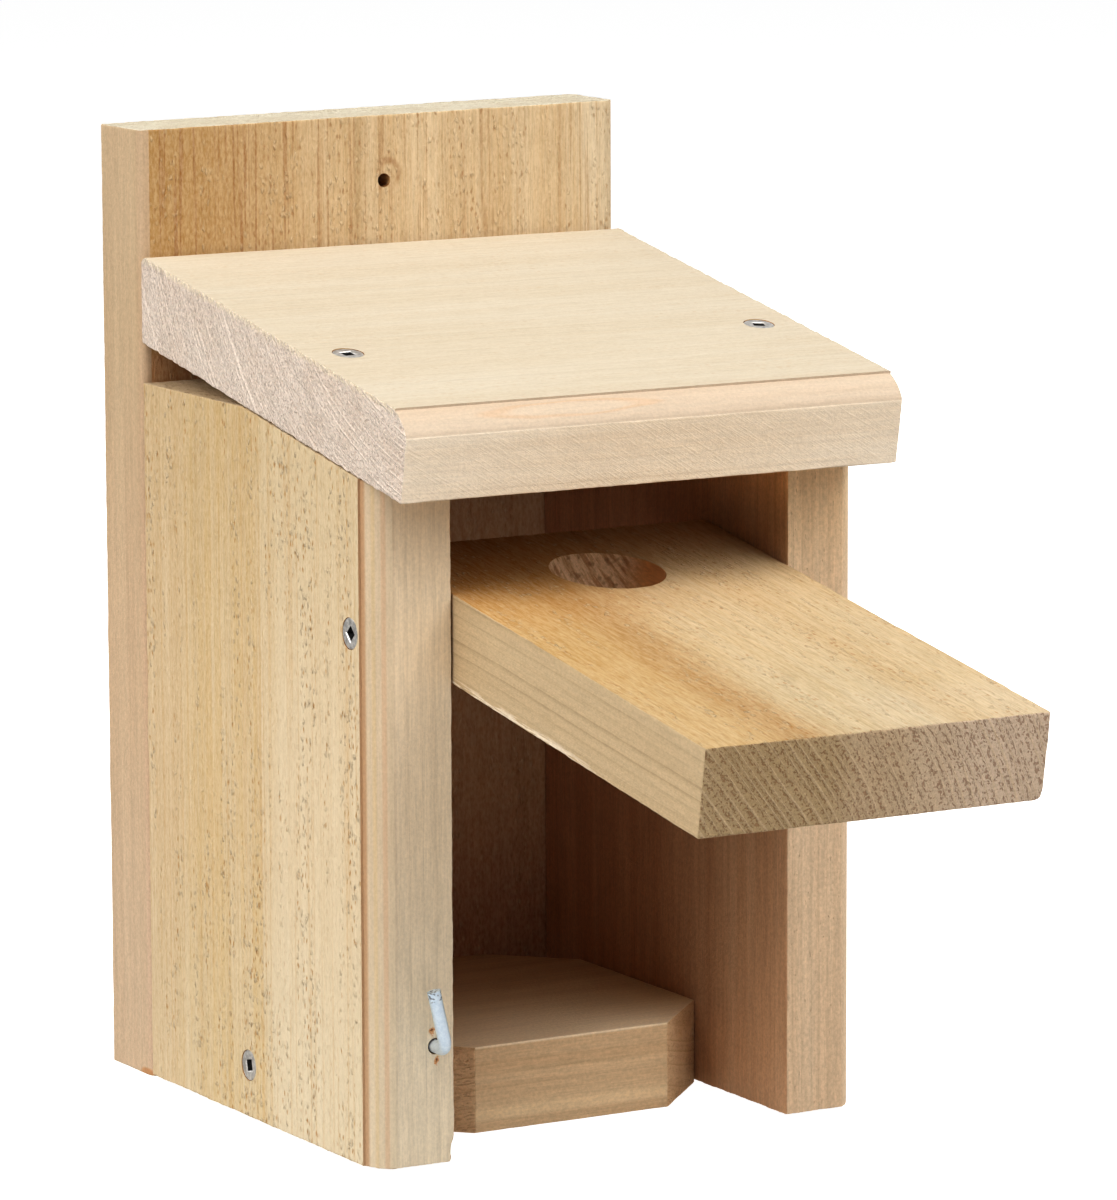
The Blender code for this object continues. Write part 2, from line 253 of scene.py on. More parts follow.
class Graph:
    """Short names for the nodes that the materials use."""

    def __init__(self, name):
        self.material = bpy.data.materials.new(name)
        self.material.use_nodes = True
        self.nodes = self.material.node_tree.nodes
        self.links = self.material.node_tree.links
        self.shader = self.nodes["Principled BSDF"]

    def put(self, socket, value):
        if isinstance(value, bpy.types.NodeSocket):
            self.links.new(value, socket)
        elif isinstance(value, (tuple, list)) and len(value) == 3 and socket.type == "RGBA":
            socket.default_value = (*value, 1.0)
        else:
            socket.default_value = value

    def node(self, kind, **inputs):
        n = self.nodes.new(kind)
        for key, value in inputs.items():
            self.put(n.inputs[key], value)
        return n

    def math(self, op, a, b=0.0):
        n = self.nodes.new("ShaderNodeMath")
        n.operation = op
        self.put(n.inputs[0], a)
        self.put(n.inputs[1], b)
        return n.outputs[0]

    def vec(self, op, a, b=(0.0, 0.0, 0.0)):
        n = self.nodes.new("ShaderNodeVectorMath")
        n.operation = op
        self.put(n.inputs[0], a)
        self.put(n.inputs[1], b)
        return n.outputs["Value"] if op in ("LENGTH", "DOT_PRODUCT") else n.outputs[0]

    def split(self, v):
        return self.node("ShaderNodeSeparateXYZ", Vector=v).outputs

    def join(self, x, y, z):
        return self.node("ShaderNodeCombineXYZ", X=x, Y=y, Z=z).outputs[0]

    def scaled(self, v, size, seed):
        """v in lumps of size, a length along each axis, moved on by seed."""
        v = self.vec("MULTIPLY", v, tuple(1.0 / c for c in size))
        return self.vec("ADD", v, (seed * 17.3, seed * 5.1, seed * 9.7))

    def noise(self, v, size, seed, detail=2.0, rough=0.5):
        v = self.scaled(v, size, seed)
        n = self.node("ShaderNodeTexNoise", Vector=v, Scale=1.0, Detail=detail, Roughness=rough)
        return n.outputs["Fac"]

    def drift(self, v, size, seed, detail, rough, amount):
        """Noise about 0, amount high in all."""
        return self.times(self.math("SUBTRACT", self.noise(v, size, seed, detail, rough), 0.5), amount)

    def cells(self, v, size, seed):
        """Scattered dots: the distance to the nearest one, and its own random number."""
        n = self.node("ShaderNodeTexVoronoi", Vector=self.scaled(v, size, seed), Scale=1.0)
        return n.outputs["Distance"], self.split(n.outputs["Color"])[0]

    def span(self, value, low, high, to_low=0.0, to_high=1.0):
        n = self.nodes.new("ShaderNodeMapRange")
        n.interpolation_type = "SMOOTHSTEP"
        keys = ("Value", "From Min", "From Max", "To Min", "To Max")
        for key, v in zip(keys, (value, low, high, to_low, to_high)):
            self.put(n.inputs[key], v)
        return n.outputs[0]

    def fall(self, value, low, high):
        """1 at low, falling to 0 at high."""
        return self.span(value, low, high, 1.0, 0.0)

    def band(self, value, low, low_full, high_full, high):
        """1 between the two middle values, and 0 below low and above high."""
        return self.times(self.span(value, low, low_full), self.fall(value, high_full, high))

    def reach(self, a, b):
        """The distance from where a and b are both 0."""
        return self.vec("LENGTH", self.join(a, b, 0.0))

    def times(self, *values):
        out = values[0]
        for v in values[1:]:
            out = self.math("MULTIPLY", out, v)
        return out

    def plus(self, *values):
        out = values[0]
        for v in values[1:]:
            out = self.math("ADD", out, v)
        return out

    def mix(self, fac, a, b, mode="MIX"):
        n = self.nodes.new("ShaderNodeMix")
        n.data_type = "RGBA"
        n.blend_type = mode
        self.put(n.inputs[0], fac)
        self.put(n.inputs[6], a)
        self.put(n.inputs[7], b)
        return n.outputs[2]

    def tint(self, colour, tone, *shares):
        """colour moved toward an sRGB tone by the product of shares."""
        return self.mix(self.times(*shares), colour, linear(*tone))

    def filtered(self, colour, factor, *shares):
        """colour times factor, as far as the product of shares."""
        return self.mix(self.times(*shares), colour, factor, "MULTIPLY")

    def graded(self, colour, place, *stops):
        """colour times the factors in stops, each (from, to, factor) taking hold between two places."""
        for start, end, factor in stops:
            colour = self.filtered(colour, factor, self.span(place, start, end))
        return colour

    def shaded(self, colour, shade):
        """colour times a brightness."""
        return self.mix(1.0, colour, self.join(shade, shade, shade), "MULTIPLY")

    def bump(self, height, distance, strength=1.0):
        n = self.node("ShaderNodeBump", Height=height, Distance=distance * MM, Strength=strength)
        return n.outputs[0]

    def finish(self, colour, roughness, normal, metallic=0.0, specular=0.3):
        names = ("Base Color", "Roughness", "Normal", "Metallic", "Specular IOR Level")
        for name, value in zip(names, (colour, roughness, normal, metallic, specular)):
            self.put(self.shader.inputs[name], value)
        return self.material


def linear(r, g, b):
    """An sRGB colour from 0 to 255 as a linear one."""
    return tuple(((c / 255 + 0.055) / 1.055) ** 2.4 if c > 10 else c / 255 / 12.92 for c in (r, g, b))


def toned(colour, amount):
    return tuple(c * amount for c in colour)


class Timber:
    """One board's wood, in millimetres: its axes, the heart of its tree, the width of its rings."""

    def __init__(self, grain, across, heart, ring, seed, place=(0, 0, 0), tilt=0.0):
        self.grain, self.across, self.heart, self.ring, self.seed = grain, across, heart, ring, seed
        self.place, self.tilt = place, tilt

    def turned(self, g, v, kind):
        """v's parts along the grain, across the wide face and through the board."""
        n = g.nodes.new("ShaderNodeMapping")
        n.vector_type = kind
        g.put(n.inputs["Vector"], v)
        if kind == "TEXTURE":
            n.inputs["Rotation"].default_value = (self.tilt, 0, 0)
            n.inputs["Location"].default_value = [c * MM for c in self.place]
            n.inputs["Scale"].default_value = (MM, MM, MM)
        else:
            n.inputs["Rotation"].default_value = (-self.tilt, 0, 0)
        parts = dict(zip("xyz", g.split(n.outputs[0])))
        rest = next(a for a in "xyz" if a not in (self.grain, self.across))
        return parts[self.grain], parts[self.across], parts[rest]

    def space(self, g):
        """Coordinates in millimetres: x along the grain, y across the wide face, z through the board."""
        return g.join(*self.turned(g, g.node("ShaderNodeTexCoord").outputs["Object"], "TEXTURE"))

    def facing(self, g):
        """How squarely the surface faces along the grain, from 0 to 1."""
        along = self.turned(g, g.node("ShaderNodeNewGeometry").outputs["Normal"], "VECTOR")[0]
        return g.math("ABSOLUTE", along)


def rings(g, p, wood):
    """The growth rings: their dark lines, the place within a ring, and the place along and across them."""
    _, y, z = g.split(p)
    dy = g.plus(y, g.drift(p, (170, 50, 50), wood.seed, 1, 0.4, 8), -wood.heart[0])
    dz = g.math("SUBTRACT", z, wood.heart[1])
    r = g.reach(dy, dz)
    arc = g.times(g.math("ARCTAN2", dz, dy), 150)
    uneven = g.noise(g.join(r, wood.seed * 3.7, 0), (wood.ring * 3.2, 1, 1), wood.seed, 2, 0.6)
    jitter = g.noise(p, (22, 1.8, 1.8), wood.seed + 2)
    r = g.plus(r, g.times(uneven, wood.ring * 2.4), g.times(jitter, wood.ring * 0.15))
    count = g.math("DIVIDE", r, wood.ring)
    turn = g.math("FRACT", count)
    cell = g.join(g.math("FLOOR", count), wood.seed, 0)
    year = g.node("ShaderNodeTexWhiteNoise", Vector=cell).outputs["Value"]
    late = g.times(g.math("POWER", turn, 6), g.fall(turn, 0.92, 1), g.span(year, 0, 1, 0.2, 1))
    return late, turn, g.join(arc, r, 0)


def grain_colour(g, p, wood, light, dark, lines, bands, fibre):
    """Broad bands, thin growth lines and fine fibres along the grain."""
    late, _, _ = rings(g, p, wood)
    broad = g.span(g.noise(p, (170, 9, 9), wood.seed + 5), 0.36, 0.64)
    narrow = g.span(g.noise(p, (80, 1.6, 1.6), wood.seed + 6), 0.34, 0.66)
    share = g.plus(g.times(broad, bands), g.times(narrow, bands * 0.6))
    colour = g.mix(share, light, dark)
    colour = g.mix(g.times(late, lines), colour, toned(dark, 0.68))
    fine = g.noise(p, (9, 0.4, 0.4), wood.seed + 7, 2, 0.6)
    colour = g.shaded(colour, g.span(fine, 0.26, 0.74, 1 - fibre * 0.6, 1 + fibre * 0.4))
    return colour, fine, late


def planed(name, wood, light, dark, lines=0.4, bands=0.25, fibre=0.1, pits=0.0, scratches=0.0,
           stain=None, grain=0.1):
    """Smooth wood along the grain."""
    g = Graph(name)
    p = wood.space(g)
    colour, fine, late = grain_colour(g, p, wood, light, dark, lines, bands, fibre)
    if stain is not None:
        colour = stain(g, p, colour)
    grit = g.noise(p, (0.9, 0.65, 0.65), wood.seed + 8, 3, 0.65)
    patchy = g.noise(p, (24, 1.3, 1.3), wood.seed + 14)
    colour = g.shaded(colour, g.span(grit, 0.26, 0.74, 1 - grain, 1 + 0.8 * grain))
    colour = g.shaded(colour, g.span(patchy, 0.3, 0.7, 1 - 0.35 * grain, 1 + 0.3 * grain))
    height = g.plus(g.times(fine, 0.35), g.times(grit, 1), g.times(late, 0.2))
    if pits:
        pit = g.span(g.noise(p, (1.7, 0.62, 0.62), wood.seed + 9, 1), 0.68, 0.78)
        colour = g.mix(g.times(pit, pits), colour, toned(dark, 0.5))
        height = g.math("SUBTRACT", height, pit)
    if scratches:
        x, _, z = g.split(p)
        cos, sin = math.cos(SCRATCH_SLANT), math.sin(SCRATCH_SLANT)
        along = g.plus(g.times(x, cos), g.times(z, sin))
        side = g.plus(g.times(x, -sin), g.times(z, cos))
        stroke = g.span(g.noise(g.join(along, side, 0), (7, 0.42, 1), wood.seed + 12), 0.5, 0.68)
        colour = g.mix(g.times(stroke, scratches), colour, toned(light, 1.12))
        height = g.plus(height, g.times(stroke, 3 * scratches))
    return g.finish(colour, 0.6, g.bump(height, 0.14))


def rough_sawn(name, wood, light, dark, deep, lines=0.3, bands=0.35, fibre=0.2, tufts=0.8, pits=0.3,
               fuzz=1.0, stain=None, long=1.4):
    """A rough-sawn face: torn tufts and pits along the grain, under broad bands."""
    g = Graph(name)
    p = wood.space(g)
    colour, fine, _ = grain_colour(g, p, wood, light, dark, lines, bands, fibre)
    if stain is not None:
        colour = stain(g, p, colour)
    grit = g.noise(p, (long, 0.62, 0.62), wood.seed + 8, 3, 0.65)
    lump = g.noise(p, (5 * long, 1.1, 1.1), wood.seed + 10, 2, 0.6)
    both = g.plus(g.times(grit, 0.65), g.times(lump, 0.35))
    shade = g.span(both, 0.32, 0.68)
    # the low spots of the rough face are made darker and browner, and its high spots paler
    low_spot_tint = (1 - 0.15 * fuzz, 1 - 0.2 * fuzz, 1 - 0.28 * fuzz)
    colour = g.filtered(colour, low_spot_tint, g.math("SUBTRACT", 1, shade))
    colour = g.mix(g.times(shade, 0.35), colour, toned(light, 1 + 0.13 * fuzz))
    where = g.span(g.noise(p, (60, 4.5, 4.5), wood.seed + 11), 0.42, 0.62, 0.2, 1)
    bent = g.vec("ADD", p, g.join(g.times(lump, 3), g.times(grit, 1.2), g.times(lump, 1.6)))
    reach, pick = g.cells(bent, (2.2, 1.1, 1.1), wood.seed + 13)
    flake = g.times(g.fall(reach, 0.1, 0.5), g.span(pick, 0.45, 0.6), where)
    reach, pick = g.cells(bent, (2.4, 1, 1), wood.seed + 17)
    pit = g.times(g.fall(reach, 0.12, 0.46), g.span(pick, 0.52, 0.68), where)
    colour = g.mix(g.times(flake, 0.35 * tufts), colour, toned(light, 1.15))
    colour = g.mix(g.times(pit, pits), colour, deep)
    height = g.plus(g.times(flake, 1.2 * tufts), g.times(pit, -0.26 * tufts), g.times(both, 1.8),
                    g.times(fine, 0.3))
    return g.finish(colour, 0.85, g.bump(height, 0.36 * fuzz), specular=0.15)


def end_grain(name, wood, light, dark, deep, lines=0.5, pits=0.4, dash=(1.5, 0.75), grit=1.0, pale=0.0,
              rough=1.0, stain=None):
    """A face cut across the grain: rings, dashes of dark pits between them, and a fine grit."""
    g = Graph(name)
    p = wood.space(g)
    late, turn, around = rings(g, p, wood)
    mottle = g.noise(p, (14, 14, 14), wood.seed + 3)
    colour = g.mix(g.span(mottle, 0.38, 0.62, 0, 0.4), light, dark)
    if stain is not None:
        colour = stain(g, p, colour)
    colour = g.mix(g.times(late, lines), colour, toned(dark, 0.8))
    dots = g.noise(around, (*dash, 1), wood.seed + 6, 1)
    pit = g.span(g.plus(dots, g.times(g.band(turn, 0.08, 0.4, 0.45, 0.85), 0.13)), 0.58, 0.74)
    colour = g.mix(g.times(pit, pits), colour, deep)
    streak = g.noise(around, (16, 0.5, 1), wood.seed + 5, 1)
    strip = g.times(g.band(turn, 0.5, 0.85, 0.88, 1), g.span(streak, 0.35, 0.6))
    colour = g.mix(g.times(strip, pale), colour, toned(light, 1.14))
    sand = g.noise(p, (0.5, 0.5, 0.5), wood.seed + 8, 3, 0.65)
    colour = g.shaded(colour, g.span(sand, 0.28, 0.72, 1 - 0.13 * grit, 1 + 0.1 * grit))
    height = g.plus(g.times(sand, 0.9 * grit), g.times(pit, -0.9), g.times(strip, 1.3 * pale),
                    g.times(late, -0.3))
    return g.finish(colour, 0.88, g.bump(height, 0.3 * rough), specular=0.12)


def bored(name, wood, side, end, deep):
    """The wall of a drilled hole: smooth where the drill cut along the grain, torn where it cut across."""
    g = Graph(name)
    p = wood.space(g)
    x, y, z = g.split(p)
    across = g.span(wood.facing(g), 0.25, 0.75)
    fine = g.noise(p, (6, 0.5, 0.5), wood.seed + 7, 2, 0.6)
    slant = g.join(g.plus(g.times(y, 0.8), g.times(z, 0.6)), g.plus(g.times(y, -0.6), g.times(z, 0.8)), x)
    torn = g.noise(slant, (0.9, 9, 4), wood.seed + 21, 3, 0.6)
    tear = g.span(torn, 0.4, 0.66, 0, 0.8)
    colour = g.mix(across, side, g.mix(tear, toned(end, 1.15), deep))
    patch = g.span(g.noise(p, (3, 2.4, 2.4), wood.seed + 22), 0.56, 0.72)
    colour = g.mix(g.times(patch, across, 0.6), colour, toned(deep, 0.6))
    colour = g.shaded(colour, g.span(fine, 0.3, 0.7, 0.88, 1.08))
    height = g.plus(g.times(torn, g.plus(0.2, across)), g.times(fine, 0.4))
    return g.finish(colour, 0.8, g.bump(height, 0.4), specular=0.15)


# ---------------------------------------------------------------- the six boards' wood

back_wood = Timber("z", "x", (30.0, 260.0), 4.6, 1.0)
left_wood = Timber("z", "y", (30.0, -230.0), 4.0, 2.0)
right_wood = Timber("z", "y", (52.0, 240.0), 2.6, 3.0)
roof_wood = Timber("x", "y", (-150.0, 120.0), 1.6, 4.0, (0, BACK_FACE, ROOF_FOOT), ROOF_SLOPE)
floor_wood = Timber("x", "y", (60.0, 140.0), 3.0, 5.0)
door_wood = Timber("y", "x", (-166.0, -100.0), 2.1, 6.0, tuple(HINGE), DOOR_TILT)

# In the stains and painted light and shade below, x runs along a board's grain, y across its wide face and z
# through it.


def back_stain_and_painted_shade(g, p, colour):
    """Golden brown at the left with a few dark streaks and a swirl round the hole; painted shade makes it
    redder inside the box and in the gap under the roof, and darker toward the bottom inside the box.
    """
    x, y, _ = g.split(p)
    warp = g.drift(p, (60, 8, 8), 52, 2, 0.5, 16)
    colour = g.tint(colour, (180, 139, 80), g.span(g.plus(y, warp), -72, 12, 0.95, 0))
    streak = g.span(g.noise(p, (70, 1.25, 1.25), 51, 2, 0.6), 0.54, 0.64)
    colour = g.tint(colour, (162, 114, 64), streak, g.span(y, -50, 0, 0.85, 0.42))
    colour = g.graded(colour, y, (-45, -20, (1.04, 1.07, 1.1)), (44, 62, (1.03, 1.08, 1.16)))
    dx, dy = g.plus(x, -HANGING_HOLE[1] - 1.5), g.plus(y, -HANGING_HOLE[0] - 1.5)
    reach = g.plus(g.reach(g.times(dx, 0.8), dy), g.times(warp, 0.1))
    arc = g.times(g.band(reach, 1.9, 2.7, 3, 4.2), g.span(g.plus(dx, dy), -3, 2))
    colour = g.tint(colour, (160, 112, 62), arc, 0.65)
    # painted shade: inside the box and in the gap under the roof the wood is tinted redder, and inside the
    # box darker toward the bottom
    inside = g.times(g.fall(x, 180, 190), g.fall(g.math("ABSOLUTE", y), 49.5, 51))
    inside = g.math("MAXIMUM", inside, g.band(x, 174, 177, 187, 191))
    colour = g.tint(colour, (190, 138, 98), inside, 0.75)
    return g.filtered(colour, (0.88, 0.74, 0.82), inside, g.span(x, 70, 30))


def strip_stain_and_painted_light(g, p, colour):
    """The narrow faces: darker toward the top, pinker along the arris, an orange chip at the foot, and
    painted light from the floor, paler and bluer toward the foot.
    """
    x, _, z = g.split(p)
    colour = g.tint(colour, (206, 172, 148), g.span(z, BACK_FACE + 3.5, BACK_FACE + 1), 0.3)
    # darker toward the top; the paler, bluer foot is painted light from the floor
    colour = g.graded(colour, x, (100, 200, (0.89, 0.9, 0.87)), (110, 20, (1.04, 1.08, 1.14)))
    chip = g.fall(g.reach(g.times(g.plus(x, -0.6), 2.4), g.plus(z, -BACK_FACE - 3)), 2, 4)
    return g.tint(colour, (190, 128, 66), chip, 0.7)


def door_stain_light_and_shade(g, p, colour):
    """Golden-brown stripes along the left and paler in the middle; painted light makes a lighter patch right
    of the hole toward the hinge; browner toward the hole and the inner end, partly stain and partly painted
    shade of the roof.
    """
    x, y, _ = g.split(p)
    bent = g.plus(y, g.drift(p, (90, 26, 26), 31, 1, 0.5, 7), g.drift(p, (40, 2.4, 2.4), 37, 2, 0.6, 7))
    colour = g.tint(colour, (178, 136, 62), g.fall(bent, -30, 2), g.span(x, -60, -110, 0.66, 0.46))
    colour = g.tint(colour, (152, 108, 54), g.band(bent, -34, -22, -20, -6), 0.42)
    colour = g.tint(colour, (190, 154, 104), g.band(bent, 14, 22, 24, 32), 0.22)
    colour = g.filtered(colour, (0.94, 0.97, 1), g.band(bent, -18, -6, 14, 38), g.span(x, -60, -105))
    # painted light: a lighter patch right of the hole, toward the hinge
    right = g.times(g.span(x, -55, -10), g.span(x, 20, -2), g.span(bent, 2, 26))
    colour = g.filtered(colour, (1.08, 1.04, 0.98), right)
    # browner and darker from the hole to the inner end: partly stain, partly painted shade of the roof
    colour = g.filtered(colour, (0.94, 0.72, 0.52), g.span(g.plus(x, g.times(bent, -0.25)), -12, 16))
    outer = g.times(g.span(x, -95, -115), g.span(bent, -6, 8))
    colour = g.graded(colour, outer, (0, 1, (1.05, 1.08, 1.16)))
    # browner toward the hole on the left: partly stain, partly painted shade of the roof and the left side
    return g.tint(colour, (184, 128, 48), g.span(x, -55, 0), g.span(bent, 26, -14, 0.15, 1), 0.66)


def door_side_stain(g, p, colour):
    """Torn pale fibres along the lower left arris."""
    x, y, z = g.split(p)
    torn = g.span(g.noise(p, (9, 0.5, 0.5), 41, 2, 0.6), 0.44, 0.54)
    low = g.times(g.span(z, -8.6, -10.4), g.span(y, -44, -47), torn, g.span(x, -95, -60))
    return g.tint(colour, (240, 226, 204), low, 0.75)


def door_end_stain(g, p, colour):
    """Olive brown at the left, pinker at the right."""
    y = g.split(p)[1]
    colour = g.tint(colour, (170, 144, 100), g.span(y, -15, -2, 0.6, 0))
    return g.tint(colour, (214, 191, 168), g.span(y, 0, 34, 0, 0.85))


def side_stain_light_and_shade(g, p, colour):
    """Pinkish beside the back board, golden in the middle, paler toward the groove; painted shade makes it
    darker at the top, under the roof, and painted light from the floor makes it paler and bluer at the foot.
    """
    x, y, _ = g.split(p)
    across = g.plus(y, g.drift(p, (120, 9, 9), 33, 2, 0.5, 20))
    colour = g.tint(colour, (213, 184, 144), g.span(across, 82, 94), 0.45)
    streak = g.span(g.noise(p, (90, 3.2, 3.2), 35, 2, 0.6), 0.4, 0.6)
    gold = g.times(g.span(across, 94, 80), g.span(across, 34, 50), g.plus(0.35, g.times(streak, 0.65)))
    colour = g.tint(colour, (212, 180, 122), gold, 0.5)
    colour = g.tint(colour, (231, 215, 187), g.span(across, 50, 34), 0.55)
    line = g.noise(p, (150, 1, 1), 36, 2, 0.6)
    colour = g.tint(colour, (202, 158, 96), g.span(line, 0.54, 0.66, 0, 0.32))
    colour = g.tint(colour, (238, 223, 196), g.span(line, 0.46, 0.34, 0, 0.26))
    # painted shade under the roof: darker toward the top; painted light from the floor: paler and bluer at
    # the foot
    return g.graded(colour, x, (90, 185, (0.86, 0.83, 0.76)), (80, 5, (1.02, 1.07, 1.13)))


def edge_stain_light_and_shade(g, p, colour):
    """Pinker on the round, paler and bluer at the foot as painted light from the floor, a brown line on the
    milled step as painted shade, torn orange chips above and below the hook's hole.
    """
    x, y, z = g.split(p)
    round_part = g.span(z, 7 - OUTER, 5.2 - OUTER)
    colour = g.tint(colour, (202, 174, 144), round_part, 0.5)
    colour = g.graded(colour, round_part, (0.2, 0.9, (0.93, 0.95, 0.94)))
    # painted light from the floor: paler and bluer toward the foot
    colour = g.graded(colour, x, (95, 10, (1.06, 1.12, 1.18)))
    # painted shade: a brown line on the milled step, where the step's face is in shade
    groove = g.times(g.span(z, 1.3 - OUTER, 0.9 - OUTER), g.span(y, FRONT_PLANE + 12, FRONT_PLANE + 9))
    colour = g.tint(colour, (176, 124, 74), groove, 0.6)
    for near, far, amount, tone in ((3.3, 4.6, 0.4, (204, 160, 124)), (1.7, 2.7, 0.35, (214, 184, 130))):
        line = g.band(z, near - OUTER, near + 0.4 - OUTER, far - 0.4 - OUTER, far - OUTER)
        colour = g.tint(colour, tone, line, amount)
    dx, dz = g.plus(x, -LATCH[2]), g.plus(z, -LATCH[0])
    wild = g.drift(p, (0.8, 0.8, 0.8), 61, 2, 0.6, 2.4)
    for high, aside in ((4.0, -0.9), (-3.4, 0.4)):
        reach = g.plus(g.reach(g.times(g.plus(dx, -high), 0.6), g.plus(dz, -aside)), wild)
        colour = g.tint(colour, (208, 142, 78), g.span(reach, 0.3, 0.75, 0.85, 0))
        colour = g.tint(colour, (92, 52, 26), g.span(reach, -0.15, 0.15, 0.9, 0))
    return colour


def inner_painted_light(g, p, colour):
    """Painted light: less red and lighter toward the open front, and lighter at the top."""
    x, y, _ = g.split(p)
    colour = g.graded(colour, y, (60, 0, (1.06, 1.22, 1.34)))
    return g.graded(colour, x, (150, 165, (1.45, 1.4, 1.25)))


def right_painted_light(g, p, colour):
    """Painted light: lighter and yellower under the roof."""
    return g.graded(colour, g.split(p)[0], (120, 170, (1.13, 1.1, 1)))


def floor_stain_and_painted_light(g, p, colour):
    """A paler band along the lower part of the front; on top, painted light: paler toward the open front."""
    _, y, z = g.split(p)
    colour = g.tint(colour, (240, 214, 174), g.band(z, 2.2, 3.4, 5.2, 6.6), 0.6)
    # painted light: the top pales toward the open front, where light comes in
    top = g.times(g.span(z, 21.2, 21.9), g.span(y, floor_low[1] + 70, floor_low[1]))
    return g.tint(colour, (250, 230, 198), top, 0.9)


def roof_end_stain(g, p, colour):
    """Worn paler and yellower along the top."""
    worn = g.plus(g.split(p)[2], g.drift(p, (1.2, 1.2, 1.2), 43, 2, 0.6, 3))
    return g.tint(colour, (244, 228, 200), g.span(worn, THICK - 2.2, THICK - 0.2, 0, 0.8))


def round_stain(g, p, colour):
    """A pointed growth-ring figure on the round, left of the middle."""
    x, y, z = g.split(p)
    wild = g.drift(p, (14, 2, 2), 44, 1, 0.5, 0.5)
    across = g.times(g.plus(y, ROOF_LONG - 3.2), 0.55)
    line = g.band(g.plus(g.reach(g.times(g.plus(x, 24), 0.045), across), wild), 0.72, 0.95, 0.98, 1.25)
    return g.tint(colour, (206, 172, 138), line, g.span(z, THICK - 8, THICK - 5), 0.5)


WOOD = {}


def add_wood(make, name, wood, *tones, **values):
    """Makes one material from its sRGB tones and keeps it in WOOD."""
    WOOD[name] = make(name, wood, *(linear(*tone) for tone in tones), **values)


add_wood(rough_sawn, "back_front", back_wood, (220, 196, 161), (200, 166, 120), (160, 112, 62),
         lines=0.85, bands=0.42, tufts=1.2, pits=0.55, fuzz=0.56, stain=back_stain_and_painted_shade)
add_wood(planed, "back_smooth", back_wood, (208, 181, 148), (190, 158, 126), lines=0.2, stain=strip_stain_and_painted_light)
add_wood(end_grain, "back_end", back_wood, (220, 211, 190), (205, 190, 162), (170, 140, 100),
         lines=0.3, pits=0.3)
add_wood(rough_sawn, "left_rough", left_wood, (219, 199, 166), (205, 178, 137), (178, 128, 66),
         lines=0.25, bands=0.26, fibre=0.16, tufts=2.0, pits=0.85, fuzz=0.58, stain=side_stain_light_and_shade)
add_wood(planed, "left_smooth", left_wood, (230, 210, 181), (217, 192, 160),
         lines=0.3, bands=0.16, fibre=0.12, stain=edge_stain_light_and_shade, grain=0.07)
# the inner face's tones, much darker and redder than the outer faces', are painted shade of the box's inside
# on top of a slightly browner inner wood
add_wood(planed, "left_inner", left_wood, (202, 154, 116), (176, 122, 86),
         lines=0.3, bands=0.3, fibre=0.12, stain=inner_painted_light, grain=0.12)
add_wood(rough_sawn, "right_rough", right_wood, (224, 200, 165), (207, 174, 132), (170, 122, 70),
         lines=0.4, bands=0.3, fibre=0.16, tufts=1.8, pits=0.6, fuzz=0.7)
add_wood(planed, "right_smooth", right_wood, (219, 193, 162), (201, 165, 128),
         lines=0.36, bands=0.22, fibre=0.12, pits=0.3, stain=right_painted_light, grain=0.12)
# the inner face's tones, much darker and redder than the outer faces', are painted shade of the box's inside
# on top of a slightly browner inner wood
add_wood(planed, "right_inner", right_wood, (206, 156, 116), (182, 126, 86),
         lines=0.35, bands=0.3, fibre=0.14, stain=inner_painted_light, grain=0.13)
add_wood(rough_sawn, "roof_top", roof_wood, (208, 197, 178), (198, 181, 154), (190, 160, 122),
         bands=0.3, fibre=0.08, tufts=0.4, fuzz=0.34)
add_wood(planed, "roof_smooth", roof_wood, (209, 191, 169), (199, 175, 149),
         lines=0.3, bands=0.3, fibre=0.06, stain=round_stain, grain=0.06)
add_wood(planed, "roof_front", roof_wood, (242, 227, 206), (228, 207, 180),
         lines=0.35, bands=0.35, fibre=0.08, scratches=0.1, grain=0.06)
add_wood(end_grain, "roof_end", roof_wood, (234, 218, 203), (223, 202, 183), (196, 168, 146),
         lines=0.3, dash=(1.2, 0.55), grit=1.5, pale=1.0, stain=roof_end_stain)
add_wood(planed, "floor_smooth", floor_wood, (221, 192, 154), (199, 161, 120),
         lines=0.35, bands=0.3, fibre=0.12, stain=floor_stain_and_painted_light)
add_wood(end_grain, "floor_end", floor_wood, (232, 200, 160), (208, 166, 122), (150, 104, 66),
         lines=0.95, pits=0.15, dash=(1.2, 0.5), grit=0.8)
add_wood(rough_sawn, "door_rough", door_wood, (204, 184, 151), (191, 162, 118), (164, 112, 56),
         lines=0.25, bands=0.26, fibre=0.22, tufts=1.5, pits=0.5, fuzz=0.66, stain=door_stain_light_and_shade, long=3.2)
add_wood(planed, "door_smooth", door_wood, (197, 174, 139), (181, 153, 115),
         lines=0.8, bands=0.2, stain=door_side_stain, grain=0.08)
add_wood(end_grain, "door_end", door_wood, (200, 176, 146), (187, 159, 124), (124, 78, 46),
         lines=0.25, pits=0.5, dash=(0.56, 0.4), pale=0.5, rough=0.6, stain=door_end_stain)
add_wood(bored, "door_hole", door_wood, (224, 168, 112), (214, 184, 148), (164, 116, 74))
for side_wood, board in ((left_wood, "left"), (right_wood, "right")):
    add_wood(end_grain, board + "_end", side_wood, (206, 184, 152), (184, 156, 118), (130, 98, 62))
for bored_wood, board in (
    (back_wood, "back"), (left_wood, "left"), (right_wood, "right"), (roof_wood, "roof"),
    (floor_wood, "floor")
):
    add_wood(bored, board + "_hole", bored_wood, (196, 156, 106), (170, 122, 74), (92, 54, 28))


# ---------------------------------------------------------------- board shapes


